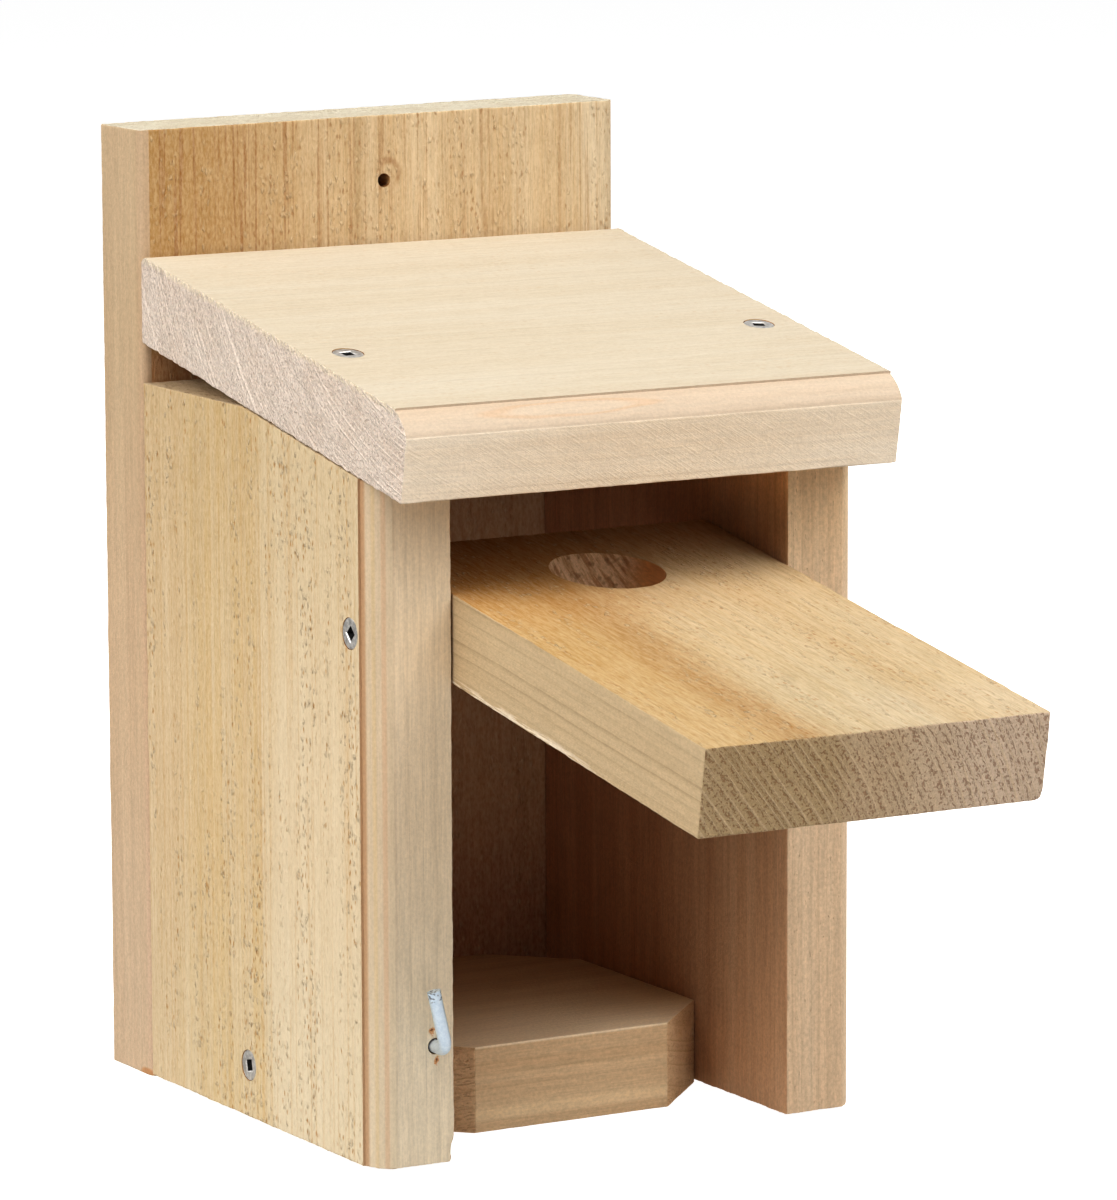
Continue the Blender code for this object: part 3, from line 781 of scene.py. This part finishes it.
def lattice_board(name, section, ends, lift, order, labels, radius, seed, across=2.0, wear=None, fix=None):
    """A board as a block of points.

    section holds the two long edges of its section, as (n, 2) arrays of matching
    points. ends gives where the length starts and stops, the second as a number
    or as a function of the section's points. order puts (section a, section b,
    length) into x, y, z. wear moves the points and fix changes the face labels.
    """
    first, second = section
    share = stations(np.linalg.norm(second[len(second) // 2] - first[len(first) // 2]), across)
    share = share / share[-1]
    length = lift / lift[-1]
    index, quads, label = lattice_surface(len(first), len(share), len(length))
    i, j, k = index.T
    t = share[j][:, None]
    flat = first[i] * (1 - t) + second[i] * t
    low, high = ends
    long = (high(flat) if callable(high) else high) - low
    # inward distances to the nearest outside face along the three directions
    mid = (first + second) / 2
    path = np.concatenate([[0], np.cumsum(np.linalg.norm(np.diff(mid, axis=0), axis=1))])
    cross = second - first
    gap = np.linalg.norm(cross, axis=1)
    di = np.minimum(path[i], path[-1] - path[i])
    dj = np.minimum(share[j], 1 - share[j]) * gap[i]
    dk = np.minimum(length[k], 1 - length[k]) * long
    tall = low + long * length[k]
    p = np.stack([flat[:, 0], flat[:, 1], tall], 1)
    r = radius * (1 + 0.45 * noise(p, (6, 6, 6), seed) + 0.35 * noise(p, (1.7, 1.7, 1.7), seed + 1))
    move = eased(np.stack([di, dj, dk], 1), np.clip(r, 0.12, 0.9))
    along = np.gradient(mid, axis=0)
    along /= np.maximum(np.linalg.norm(along, axis=1, keepdims=True), 1e-9)
    cross /= np.maximum(gap[:, None], 1e-9)
    sign_i = np.where(path[i] < path[-1] / 2, 1.0, -1.0)
    sign_j = np.where(share[j] < 0.5, 1.0, -1.0)
    sign_k = np.where(length[k] < 0.5, 1.0, -1.0)
    flat = flat + along[i] * (sign_i * move[:, 0])[:, None] + cross[i] * (sign_j * move[:, 1])[:, None]
    p = np.stack([flat[:, 0], flat[:, 1], tall + sign_k * move[:, 2]], 1)
    if wear is not None:
        p = wear(p, i, j, k)
    if fix is not None:
        label = fix(label, p[quads].mean(1))
    names = [labels[0].split("_")[0] + "_hole"] + sorted(set(labels))
    slots = np.array([names.index(n) for n in labels])
    obj = mesh_object(name, p[:, order], quads, [WOOD[n] for n in names], slots[label])
    face_out(obj)
    return obj


def rough_move(p, mask, direction, amount, size, seed):
    """Waviness of a rough-sawn face: moves the masked points along direction."""
    h = 0.6 * noise(p, size, seed) + 0.4 * noise(p, tuple(s * 0.45 for s in size), seed + 1)
    return p + np.asarray(direction, float) * (amount * mask * h)[:, None]


def sawn_ends(p, k, amount, lump, seed):
    """Waviness of the two ends of the length."""
    ends = ((k == 0) | (k == k.max())).astype(float)
    return rough_move(p, ends, (0, 0, 1), amount, (lump, lump, 50), seed)


def rounded(u, v, r):
    """Distances u and v from the two faces of an arris, moved onto a round of radius r."""
    a, b = np.clip(r - u, 0, None), np.clip(r - v, 0, None)
    length = np.maximum(np.hypot(a, b), 1e-9)
    pull = np.where((a > 0) & (b > 0) & (length > r), r / length, 1.0)
    return np.where(a > 0, r - a * pull, u), np.where(b > 0, r - b * pull, v)


def facing_lines(half, near, far, step, edge):
    """A board's two wide faces in section, from -half to half, as points close together at both ends."""
    t = stations(2 * half, step, edge)
    x = -half + 2 * half * (t / t[-1])
    return tuple(np.stack([x, np.full(len(x), float(y))], 1) for y in (near, far))


# ---------------------------------------------------------------- holes

SUNK = 0.06  # of a screw's head below the face
HEAD_HOLE = 3.98
SHANK_HOLE = 2.2
screws = []


def plan_screw(name, body, head, inward, spin, boards):
    turn = Vector(inward).normalized().to_track_quat("-Z", "Y").to_matrix().to_4x4()
    place = Matrix.Translation(Vector(head) * MM) @ turn @ Matrix.Translation((0, 0, -SUNK * MM))
    screws.append({"name": name, "body": body, "place": place, "spin": spin, "boards": boards})


roof_tilt = Matrix.Rotation(ROOF_SLOPE, 3, "X")
roof_head = Vector((0, BACK_FACE - GAP, ROOF_FOOT)) + roof_tilt @ Vector((0, -88.2, THICK))
for hand_name, hand, spin in (("left", -1, 45.0), ("right", 1, 20.0)):
    side_name = hand_name + "_side"
    into_side = (-hand, 0, 0)
    plan_screw("pivot_screw_" + hand_name, "front", (hand * OUTER, HINGE[1], HINGE[2]), into_side, spin,
               (side_name, "front_door"))
    plan_screw("floor_screw_" + hand_name, "box", (hand * OUTER, BACK_FACE - 55.2, 14.05), into_side, 12.0,
               (side_name, "floor"))
    plan_screw("roof_screw_" + hand_name, "box", roof_head + Vector((hand * SIDE_MIDDLE, 0, 0)),
               roof_tilt @ Vector((0, 0, -1)), spin - 40.0, ("roof", side_name))
    for level, height in (("lower", 40.0), ("upper", 150.0)):
        plan_screw("back_screw_" + level + "_" + hand_name, "box", (hand * SIDE_MIDDLE, back_high[1], height),
                   (0, -1, 0), spin, ("back_board", side_name))
plan_screw("back_screw_floor", "box", (0, back_high[1], THICK / 2), (0, -1, 0), 30.0, ("back_board", "floor"))


def screw_holes(board):
    """The holes of the screws that go into one board."""
    profile = [(HEAD_HOLE, 3.0), (HEAD_HOLE, -0.6), (SHANK_HOLE, -3.5), (SHANK_HOLE, -36.0), (0.4, -41.5)]
    return [turned("hole", profile, 40, s["place"]) for s in screws if board in s["boards"]]


def plain_hole(radius, length, centre, axis, sides, rows):
    turn = Vector(axis).to_track_quat("Z", "Y").to_matrix().to_4x4()
    place = Matrix.Translation(Vector(centre) * MM) @ turn
    profile = [(radius, length / 2 - length * r / rows) for r in range(rows + 1)]
    return turned("hole", profile, sides, place)


def finish_board(obj, body, cutters, angle=32.0):
    carve(obj, cutters)
    smooth(obj, angle)
    obj.data.name = obj.name
    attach(obj, body)


# ---------------------------------------------------------------- the six boards


def make_back_board():
    section = facing_lines(OUTER, BACK_FACE, back_high[1], 1.1, 2.6)

    def wear(p, i, j, k):
        # front arrises eased to about 2.5 mm, and the top cut a little out of square
        radius = 2.5 + 0.35 * noise(p, (30, 30, 30), 5)
        edge, front = rounded(OUTER - np.abs(p[:, 0]), p[:, 1] - BACK_FACE, radius)
        p[:, 0] = np.sign(p[:, 0]) * (OUTER - edge)
        p[:, 1] = BACK_FACE + front
        share = np.clip((p[:, 2] - 200) / 47.0, 0, 1)
        p[:, 2] += share * (p[:, 0] / OUTER * 0.8 - 0.1)
        flat = np.clip((edge - 2.0) / 2.0, 0, 1) * (j == 0)
        p = rough_move(p, flat, (0, 1, 0), 0.16, (2.2, 50, 7.0), 7)
        return sawn_ends(p, k, 0.12, 1.6, 9)

    def fix(label, centre):
        strip = (label == 2) & (centre[:, 0] < -OUTER + 2.2)
        return np.where(strip, 0, label)

    labels = ["back_smooth", "back_smooth", "back_front", "back_smooth", "back_end", "back_end"]
    obj = lattice_board("back_board_wood", section, (0.0, back_high[2]), stations(back_high[2], 1.1),
                        [0, 1, 2], labels, radius=0.5, seed=11, wear=wear, fix=fix)
    holes = screw_holes("back_board")
    centre = (HANGING_HOLE[0], BACK_FACE + THICK / 2, HANGING_HOLE[1])
    holes.append(plain_hole(HANGING_RADIUS, 60.0, centre, (0, 1, 0), 40, 30))
    finish_board(obj, "box", holes)
    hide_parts("back_board")


def milled(step):
    """The step and the arc beyond it, as (distance back from the front, distance in from the face)."""
    rows = [(ROUND_ALONG, 0.0), (ROUND_ALONG, 0.25 * step), (ROUND_ALONG, 0.6 * step)]
    wide = math.sin(ARC_TO) - math.sin(ARC_FROM)
    deep = math.cos(ARC_FROM) - math.cos(ARC_TO)
    for n in range(ARC_PARTS + 1):
        a = ARC_FROM + (ARC_TO - ARC_FROM) * n / ARC_PARTS
        share = (math.sin(a) - math.sin(ARC_FROM)) / wide
        sunk = (math.cos(ARC_FROM) - math.cos(a)) / deep
        rows.append((ROUND_ALONG * (1 - share), step + (STEP + ROUND_DEEP - step) * sunk))
    return rows


def side_top(flat):
    """How high a side reaches at the points of its section: level at the back, then under the roof."""
    roof = ROOF_FOOT - (BACK_FACE - flat[:, 1]) * math.tan(ROOF_SLOPE) - GAP / math.cos(ROOF_SLOPE)
    return np.minimum(side_high[2], roof)


def make_side(hand):
    prefix = "left" if hand < 0 else "right"
    name = prefix + "_side"
    back = BACK_FACE - GAP
    # the last stations, close together for an arris, are left out where the milled step follows
    ys = list(back - stations(back - (FRONT_PLANE + ROUND_ALONG), 1.0)[:-5])
    rows = milled(0.65)
    front_ys = np.linspace(FRONT_PLANE + ROUND_ALONG, FRONT_PLANE, len(rows))
    front_ys[1:3] = front_ys[0] - np.array([0.25, 0.55])
    outer = [(hand * OUTER, y) for y in ys]
    outer += [(hand * (OUTER - deep), FRONT_PLANE + along) for along, deep in rows]
    inner = [(hand * INNER, y) for y in ys + list(front_ys)]

    def wear(p, i, j, k):
        flat = (j == 0) * np.clip((p[:, 1] - FRONT_PLANE - ROUND_ALONG - 1.0) / 2.0, 0, 1)
        p = rough_move(p, flat, (1, 0, 0), 0.17, (50, 2.2, 7.0), 21 + hand)
        p = sawn_ends(p, k, 0.14, 1.5, 29 + hand)
        if hand < 0:
            # a chip out of the bottom of the inner front corner
            d = (p - np.array([-INNER, FRONT_PLANE, side_low[2]])) / np.array([1.6, 2.4, 8.0])
            bite = np.clip(1 - np.linalg.norm(d, axis=1) + 0.35 * noise(p, (1.6, 1.6, 1.6), 77), 0, 1)
            p[:, 0] -= bite * 1.0
            p[:, 1] += bite * 0.5
        return p

    def fix(label, centre):
        milled_part = (label == 2) & (centre[:, 1] < FRONT_PLANE + ROUND_ALONG + 0.01)
        return np.where(milled_part, 0, label)

    labels = [prefix + part for part in ("_smooth", "_smooth", "_rough", "_inner", "_end", "_end")]
    obj = lattice_board(name + "_wood", (np.array(outer), np.array(inner)), (side_low[2], side_top),
                        stations(side_high[2] - side_low[2], 1.0), [0, 1, 2], labels,
                        radius=0.42, seed=31 + hand, wear=wear, fix=fix)
    holes = screw_holes(name)
    if hand < 0:
        holes.append(plain_hole(2.02, 42.0, (LATCH[0], FRONT_PLANE, LATCH[2]), (0, 1, 0), 36, 30))
    finish_board(obj, "box", holes)
    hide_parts(name)


def make_roof():
    rise = THICK * math.tan(ROOF_SLOPE)
    long = ROOF_LONG - ROUND_ALONG
    count = 120
    eased_back = ((0.25, 2.6), (0.5, 1.4), (1.1, 0.5), (2.0, 0.1), (3.0, 0.0))
    top = [(rise - back, THICK - down) for back, down in eased_back]
    low = [(-back, 0.0) for back in (0.0, 0.12, 0.3, 0.6, 1.2)]
    top_from, low_from = top[-1][0], low[-1][0]
    for n in range(1, count + 1):
        share = n / count
        top.append((top_from + (-long - top_from) * share, THICK))
        low.append((low_from + (-long - low_from) * share, 0.0))
    top += [(along - ROOF_LONG, THICK - deep) for along, deep in milled(0.6)[1:]]
    extra = len(top) - len(low)
    low += [(-long - ROUND_ALONG * n / extra, 0.0) for n in range(1, extra + 1)]

    def wear(p, i, j, k):
        flat = (j == 0) * (p[:, 0] > -long + 0.5)
        p = rough_move(p, flat.astype(float), (0, 1, 0), 0.07, (2.0, 50, 12.0), 41)
        p = sawn_ends(p, k, 0.14, 1.6, 43)
        p = rough_move(p, (i == i.max()).astype(float), (1, 0, 0), 0.1, (50, 3.0, 3.0), 45)
        near = (THICK - p[:, 1]) ** 2 + (ROOF_HALF - np.abs(p[:, 2])) ** 2
        p = rough_move(p, np.exp(-near / 0.9), (0, 1, 0), 0.28, (1.6, 50, 50), 48)
        below = p[:, 1] ** 2 + (ROOF_HALF - np.abs(p[:, 2])) ** 2
        return rough_move(p, np.exp(-below / 0.9), (0, 1, 0), 0.35, (1.4, 50, 50), 49)

    def fix(label, centre):
        milled_part = (label == 2) & (centre[:, 0] < -long + 0.01)
        return np.where(milled_part, 0, label)

    labels = ["roof_smooth", "roof_front", "roof_top", "roof_smooth", "roof_end", "roof_end"]
    obj = lattice_board("roof_wood", (np.array(top), np.array(low)), (-ROOF_HALF, ROOF_HALF),
                        stations(2 * ROOF_HALF, 1.0), [2, 0, 1], labels,
                        radius=0.4, seed=47, wear=wear, fix=fix)
    foot = Vector((0, BACK_FACE - GAP, ROOF_FOOT)) * MM
    obj.data.transform(Matrix.Translation(foot) @ Matrix.Rotation(ROOF_SLOPE, 4, "X"))
    finish_board(obj, "box", screw_holes("roof"))
    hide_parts("roof")


def make_floor():
    ys = stations(floor_high[1] - floor_low[1], 1.5)
    ys = np.sort(np.concatenate([ys, [FLOOR_CORNER, ys[-1] - FLOOR_CORNER]]))
    corner = np.minimum(ys, ys[-1] - ys)
    wide = INNER - GAP - np.clip(FLOOR_CORNER - corner, 0, None)
    section = tuple(np.stack([side * wide, ys + floor_low[1]], 1) for side in (-1, 1))
    labels = ["floor_smooth", "floor_smooth", "floor_end", "floor_end", "floor_smooth", "floor_smooth"]
    obj = lattice_board("floor_wood", section, (0.0, floor_high[2]),
                        stations(floor_high[2] - floor_low[2], 1.5), [0, 1, 2], labels,
                        radius=0.35, seed=51, across=1.5)
    finish_board(obj, "box", screw_holes("floor"), 25.0)
    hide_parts("floor")


def make_door():
    half = THICK / 2
    section = facing_lines(DOOR_HALF, half, -half, 0.9, 0.7)

    def wear(p, i, j, k):
        p = rough_move(p, (j == 0).astype(float), (0, 1, 0), 0.15, (2.0, 50, 6.0), 61)
        side, under = rounded(DOOR_HALF - p[:, 0], p[:, 1] + half, 2.4 + 0.3 * noise(p, (30, 30, 30), 68))
        p[:, 0], p[:, 1] = DOOR_HALF - side, under - half
        torn = np.exp(-((p[:, 0] + DOOR_HALF) ** 2 + (p[:, 1] - half) ** 2) / 1.2)
        p = rough_move(p, torn, (-0.7, 0.3, 0), 0.5, (3, 3, 2.4), 63)
        return sawn_ends(p, k, 0.16, 1.3, 65)

    labels = ["door_smooth", "door_smooth", "door_rough", "door_smooth", "door_end", "door_end"]
    obj = lattice_board("front_door_wood", section, (-DOOR_BELOW, DOOR_ABOVE),
                        stations(DOOR_BELOW + DOOR_ABOVE, 0.9), [0, 2, 1], labels,
                        radius=0.45, seed=67, wear=wear)
    tilt = Matrix.Rotation(DOOR_TILT, 4, "X")
    place = Matrix.Translation(Vector(HINGE) * MM) @ tilt
    obj.data.transform(place)
    centre = place @ Vector((0, -ENTRANCE_BELOW * MM, 0)) / MM
    holes = screw_holes("front_door")
    holes.append(plain_hole(ENTRANCE_RADIUS, 60.0, centre, tilt @ Vector((0, 0, 1)), 128, 60))
    finish_board(obj, "front", holes)
    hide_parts("front_door")


make_back_board()
make_side(-1)
make_side(1)
make_roof()
make_floor()
make_door()

# ---------------------------------------------------------------- screws and hook

# Screw, from the top of its head down
RIM = [(3.62, 0.0), (3.8, -0.05), (3.9, -0.16), (3.9, -0.4), (3.8, -0.52)]
NECK = [(2.35, -2.9), (2.0, -3.4), (2.0, -12.0)]
THREAD_ROWS = 60
THREAD_LONG = 27.0
CORE = 1.45
TAPER_END, TAPER_LONG = -39.51, 5.0
POINT = (0.12, -40.6)
RECESS_HALF = 1.42
RECESS_DEEP = 2.75

# Hook
WIRE = 1.65
STANDOFF = 5.8
ARM = 15.6
BEND = 3.0
SHANK = 20.0
HOOK_LEAN = math.radians(-13.0)


def metal(name, dark, light, seed, metallic, low, high, tip=None):
    """Bright metal with faint clouds and fine scratches, and the cutter's marks near tip."""
    g = Graph(name)
    p = g.vec("MULTIPLY", g.node("ShaderNodeTexCoord").outputs["Object"], (1 / MM,) * 3)
    cloud = g.noise(p, (0.9, 0.9, 0.9), seed, 4, 0.65)
    fine = g.noise(p, (0.12, 0.6, 0.12), seed + 2, 2, 0.6)
    colour = g.mix(g.span(cloud, 0.35, 0.65), linear(*dark), linear(*light))
    rough = g.span(g.plus(g.times(cloud, 0.6), g.times(fine, 0.4)), 0.3, 0.7, low, high)
    if tip is not None:
        near = g.fall(g.vec("LENGTH", g.vec("SUBTRACT", p, tip)), 2.4, 3.4)
        nick = g.span(g.noise(p, (0.9, 0.9, 0.4), seed + 4), 0.52, 0.6)
        colour = g.tint(colour, (96, 100, 106), nick, near, 0.8)
    return g.finish(colour, rough, g.bump(fine, 0.02, 0.5), metallic, 0.5)


hook_tip = (LATCH[0] + ARM * math.sin(HOOK_LEAN), LATCH[1] - STANDOFF, LATCH[2] + ARM * math.cos(HOOK_LEAN))
STEEL = metal("screw_metal", (168, 165, 161), (208, 204, 198), 3.0, 1.0, 0.32, 0.55)
# dark metal for the square recess: painted shade of the recess
RECESS_SHADE = metal("screw_recess", (70, 68, 66), (110, 108, 106), 5.0, 1.0, 0.4, 0.6)
ZINC = metal("zinc_metal", (206, 220, 232), (222, 233, 241), 2.0, 0.75, 0.35, 0.55, hook_tip)


def thread(height, pitch, turn, steep):
    """How high a thread's ridge stands, from 0 to 1, at turn, a share of the way round."""
    return max(0.0, 1 - abs((height / pitch - turn) % 1.0 - 0.5) * steep)


def screw_recess():
    """The cutter of the square recess, widest at the top."""
    rows = [(RECESS_HALF + 0.35, 0.6), (RECESS_HALF + 0.28, 0.02), (RECESS_HALF, -0.22),
            (RECESS_HALF * 0.96, -2.3), (RECESS_HALF * 0.4, -RECESS_DEEP)]
    verts = [(cx * size, cy * size, height) for size, height in rows
             for cx, cy in ((1, 1), (-1, 1), (-1, -1), (1, -1))]
    return tube("recess", verts, 4, RECESS_SHADE)


def make_screw(plan):
    """Flat head with a softened rim and a square recess, a shank and a thread."""
    sides = 48
    rows = RIM + NECK
    threaded = len(rows)
    for n in range(THREAD_ROWS):
        z = NECK[-1][1] - THREAD_LONG * n / THREAD_ROWS
        rows.append((CORE * max(min(1.0, (z - TAPER_END) / TAPER_LONG), 0.12), z))
    rows.append(POINT)
    verts = []
    for row, (radius, height) in enumerate(rows):
        for s, a in enumerate(circle(sides)):
            r = radius
            if row >= threaded:
                r += 0.55 * thread(height, 2.2, s / sides, 4.5) * min(1.0, radius / 1.2)
            verts.append((r * math.cos(a), r * math.sin(a), height))
    obj = tube(plan["name"] + "_metal", verts, sides, STEEL)
    carve(obj, [screw_recess()])
    obj.data.materials.clear()
    obj.data.materials.append(STEEL)
    obj.data.materials.append(RECESS_SHADE)
    # faces inside the recess take the dark metal: painted shade of the recess
    for face in obj.data.polygons:
        away = max(abs(face.center.x), abs(face.center.y)) / MM
        inside = -RECESS_DEEP - 0.1 < face.center.z / MM < -0.3
        face.material_index = int(away < RECESS_HALF + 0.02 and inside)
    obj.data.transform(plan["place"] @ Matrix.Rotation(math.radians(plan["spin"]), 4, "Z"))
    obj.data.name = plan["name"] + "_metal"
    smooth(obj, 30.0)
    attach(obj, plan["body"])
    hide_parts(plan["name"])


for plan in screws:
    make_screw(plan)


def hook_path():
    """The middle of the wire: its shank in the wood, a bend and the arm."""
    path = [Vector((0, SHANK - n * (SHANK + 2.4) / 25, 0)) for n in range(26)]
    for n in range(1, 15):
        a = math.pi / 2 * n / 14
        path.append(Vector((0, BEND - STANDOFF - BEND * math.sin(a), BEND * (1 - math.cos(a)))))
    return path + [Vector((0, -STANDOFF, BEND + (ARM - BEND) * n / 12)) for n in range(1, 13)]


def make_hook():
    """Bent wire with a threaded shank and a cut, pinched tip."""
    path = hook_path()
    sides, last, threaded = 32, len(path) - 1, 22
    side = Vector((1, 0, 0))
    verts = []
    for row, c in enumerate(path):
        t = (path[min(row + 1, last)] - path[max(row - 1, 0)]).normalized()
        out = side.cross(t).normalized()
        squeeze = 1.0 - 0.14 * max(0.0, (row / last - 0.93) / 0.07)
        for s, a in enumerate(circle(sides)):
            r = 1.15 + 0.35 * thread(c.y, 1.6, s / sides, 4.0) if row < threaded else WIRE
            x = math.cos(a) * r * (1.0 + (1 - squeeze) * 0.4)
            y = math.sin(a) * r * squeeze
            verts.append(c + side * x + out * y)
    obj = tube("latch_hook_wire", verts, sides, ZINC)
    obj.data.transform(Matrix.Translation(Vector(LATCH) * MM) @ Matrix.Rotation(HOOK_LEAN, 4, "Y"))
    smooth(obj, 40.0)
    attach(obj, "latch")
    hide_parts("latch_hook")


make_hook()

# ---------------------------------------------------------------- studio


def pale_floor():
    """Plain paper, white to the camera; for all other rays it glows a little around the object's foot."""
    bpy.ops.mesh.primitive_plane_add(size=40.0, location=(0, 0, -0.0002))
    plane = bpy.context.active_object
    plane.name = "studio_floor"
    g = Graph("studio_floor")
    g.nodes.remove(g.shader)

    def paper(colour, glow):
        matt = g.node("ShaderNodeBsdfDiffuse", Color=(*colour, 1))
        shine = g.node("ShaderNodeEmission", Strength=glow)
        both = g.nodes.new("ShaderNodeAddShader")
        g.links.new(matt.outputs[0], both.inputs[0])
        g.links.new(shine.outputs[0], both.inputs[1])
        return both.outputs[0]

    x, y, _ = g.split(g.node("ShaderNodeNewGeometry").outputs["Position"])
    beside = g.math("MAXIMUM", g.math("SUBTRACT", g.math("ABSOLUTE", x), 0.07), 0.0)
    before = g.math("MAXIMUM", g.math("SUBTRACT", g.math("ABSOLUTE", y), 0.11), 0.0)
    glow = g.times(g.math("EXPONENT", g.times(g.reach(beside, before), -10.0)), 0.3)
    pick = g.nodes.new("ShaderNodeMixShader")
    g.links.new(g.nodes.new("ShaderNodeLightPath").outputs["Is Camera Ray"], pick.inputs[0])
    g.links.new(paper((0.55, 0.55, 0.55), glow), pick.inputs[1])
    g.links.new(paper((0.5, 0.5, 0.5), 0.96), pick.inputs[2])
    g.links.new(pick.outputs[0], g.nodes["Material Output"].inputs["Surface"])
    plane.data.materials.append(g.material)


def studio_world():
    """White behind the floor, bright in the metal's reflections, and almost no light of its own."""
    world = bpy.data.worlds.new("studio")
    bpy.context.scene.world = world
    world.use_nodes = True
    nodes, links = world.node_tree.nodes, world.node_tree.links
    rays = nodes.new("ShaderNodeLightPath")
    shine = nodes.new("ShaderNodeMath")
    shine.operation = "MULTIPLY_ADD"
    shine.inputs[1].default_value = 0.85
    shine.inputs[2].default_value = 0.02
    links.new(rays.outputs["Is Glossy Ray"], shine.inputs[0])
    power = nodes.new("ShaderNodeMath")
    power.operation = "MAXIMUM"
    links.new(shine.outputs[0], power.inputs[0])
    links.new(rays.outputs["Is Camera Ray"], power.inputs[1])
    nodes["Background"].inputs["Color"].default_value = (1, 1, 1, 1)
    links.new(power.outputs[0], nodes["Background"].inputs["Strength"])


LAMP_AWAY = 1.8
LAMP_SIZE = 1.1


def soft_light(name, azimuth, elevation, power):
    """A square soft box aimed at the middle of the object; azimuth 0 is in front, and left is negative."""
    data = bpy.data.lights.new(name, "AREA")
    data.shape = "SQUARE"
    data.size = LAMP_SIZE
    data.energy = power
    light = bpy.data.objects.new(name, data)
    bpy.context.scene.collection.objects.link(light)
    a, e = math.radians(azimuth), math.radians(elevation)
    way = Vector((math.sin(a) * math.cos(e), -math.cos(a) * math.cos(e), math.sin(e)))
    aim = Vector((0, 0, 0.12))
    light.location = aim + way * LAMP_AWAY
    light.rotation_mode = "QUATERNION"
    light.rotation_quaternion = (-way).to_track_quat("-Z", "Y")
    light.visible_camera = False


def make_camera():
    data = bpy.data.cameras.new("photo_camera")
    data.lens = 200.24
    data.sensor_width = 36.0
    data.clip_start = 0.05
    data.clip_end = 100.0
    camera = bpy.data.objects.new("photo_camera", data)
    bpy.context.scene.collection.objects.link(camera)
    yaw, pitch, roll = math.radians(29.8498), math.radians(9.0152), math.radians(-0.2065)
    back = Vector((-math.sin(yaw) * math.cos(pitch), -math.cos(yaw) * math.cos(pitch), math.sin(pitch)))
    forward = -back
    right = forward.cross(Vector((0, 0, 1))).normalized()
    up = right.cross(forward)
    level = right * math.cos(roll) + up * math.sin(roll)
    upright = up * math.cos(roll) - right * math.sin(roll)
    across, down, away = 15.531, 2.2725, 1695.35
    aim = Vector((0, BACK_FACE - 60.0, 130.0)) + right * across - up * down
    camera.rotation_mode = "QUATERNION"
    camera.rotation_quaternion = Matrix((level, upright, back)).transposed().to_quaternion()
    camera.location = (aim + back * away) * MM
    bpy.context.scene.camera = camera


pale_floor()
studio_world()
soft_light("front_left", -45.0, 62.0, 13.9)
soft_light("left", -80.0, 35.0, 20.8)
soft_light("front", 25.0, 35.0, 11.6)
soft_light("above_right", 45.0, 55.0, 10.1)
soft_light("right", 65.0, 35.0, 7.5)
soft_light("behind", -120.0, 35.0, 8.1)
soft_light("low_back", 180.0, 5.0, 9.0)
soft_light("low_far_side", 105.0, 5.0, 6.0)
make_camera()
bpy.context.scene.view_settings.view_transform = "Standard"
bpy.context.scene.view_settings.gamma = 1 / 1.2  # the photograph's contrast
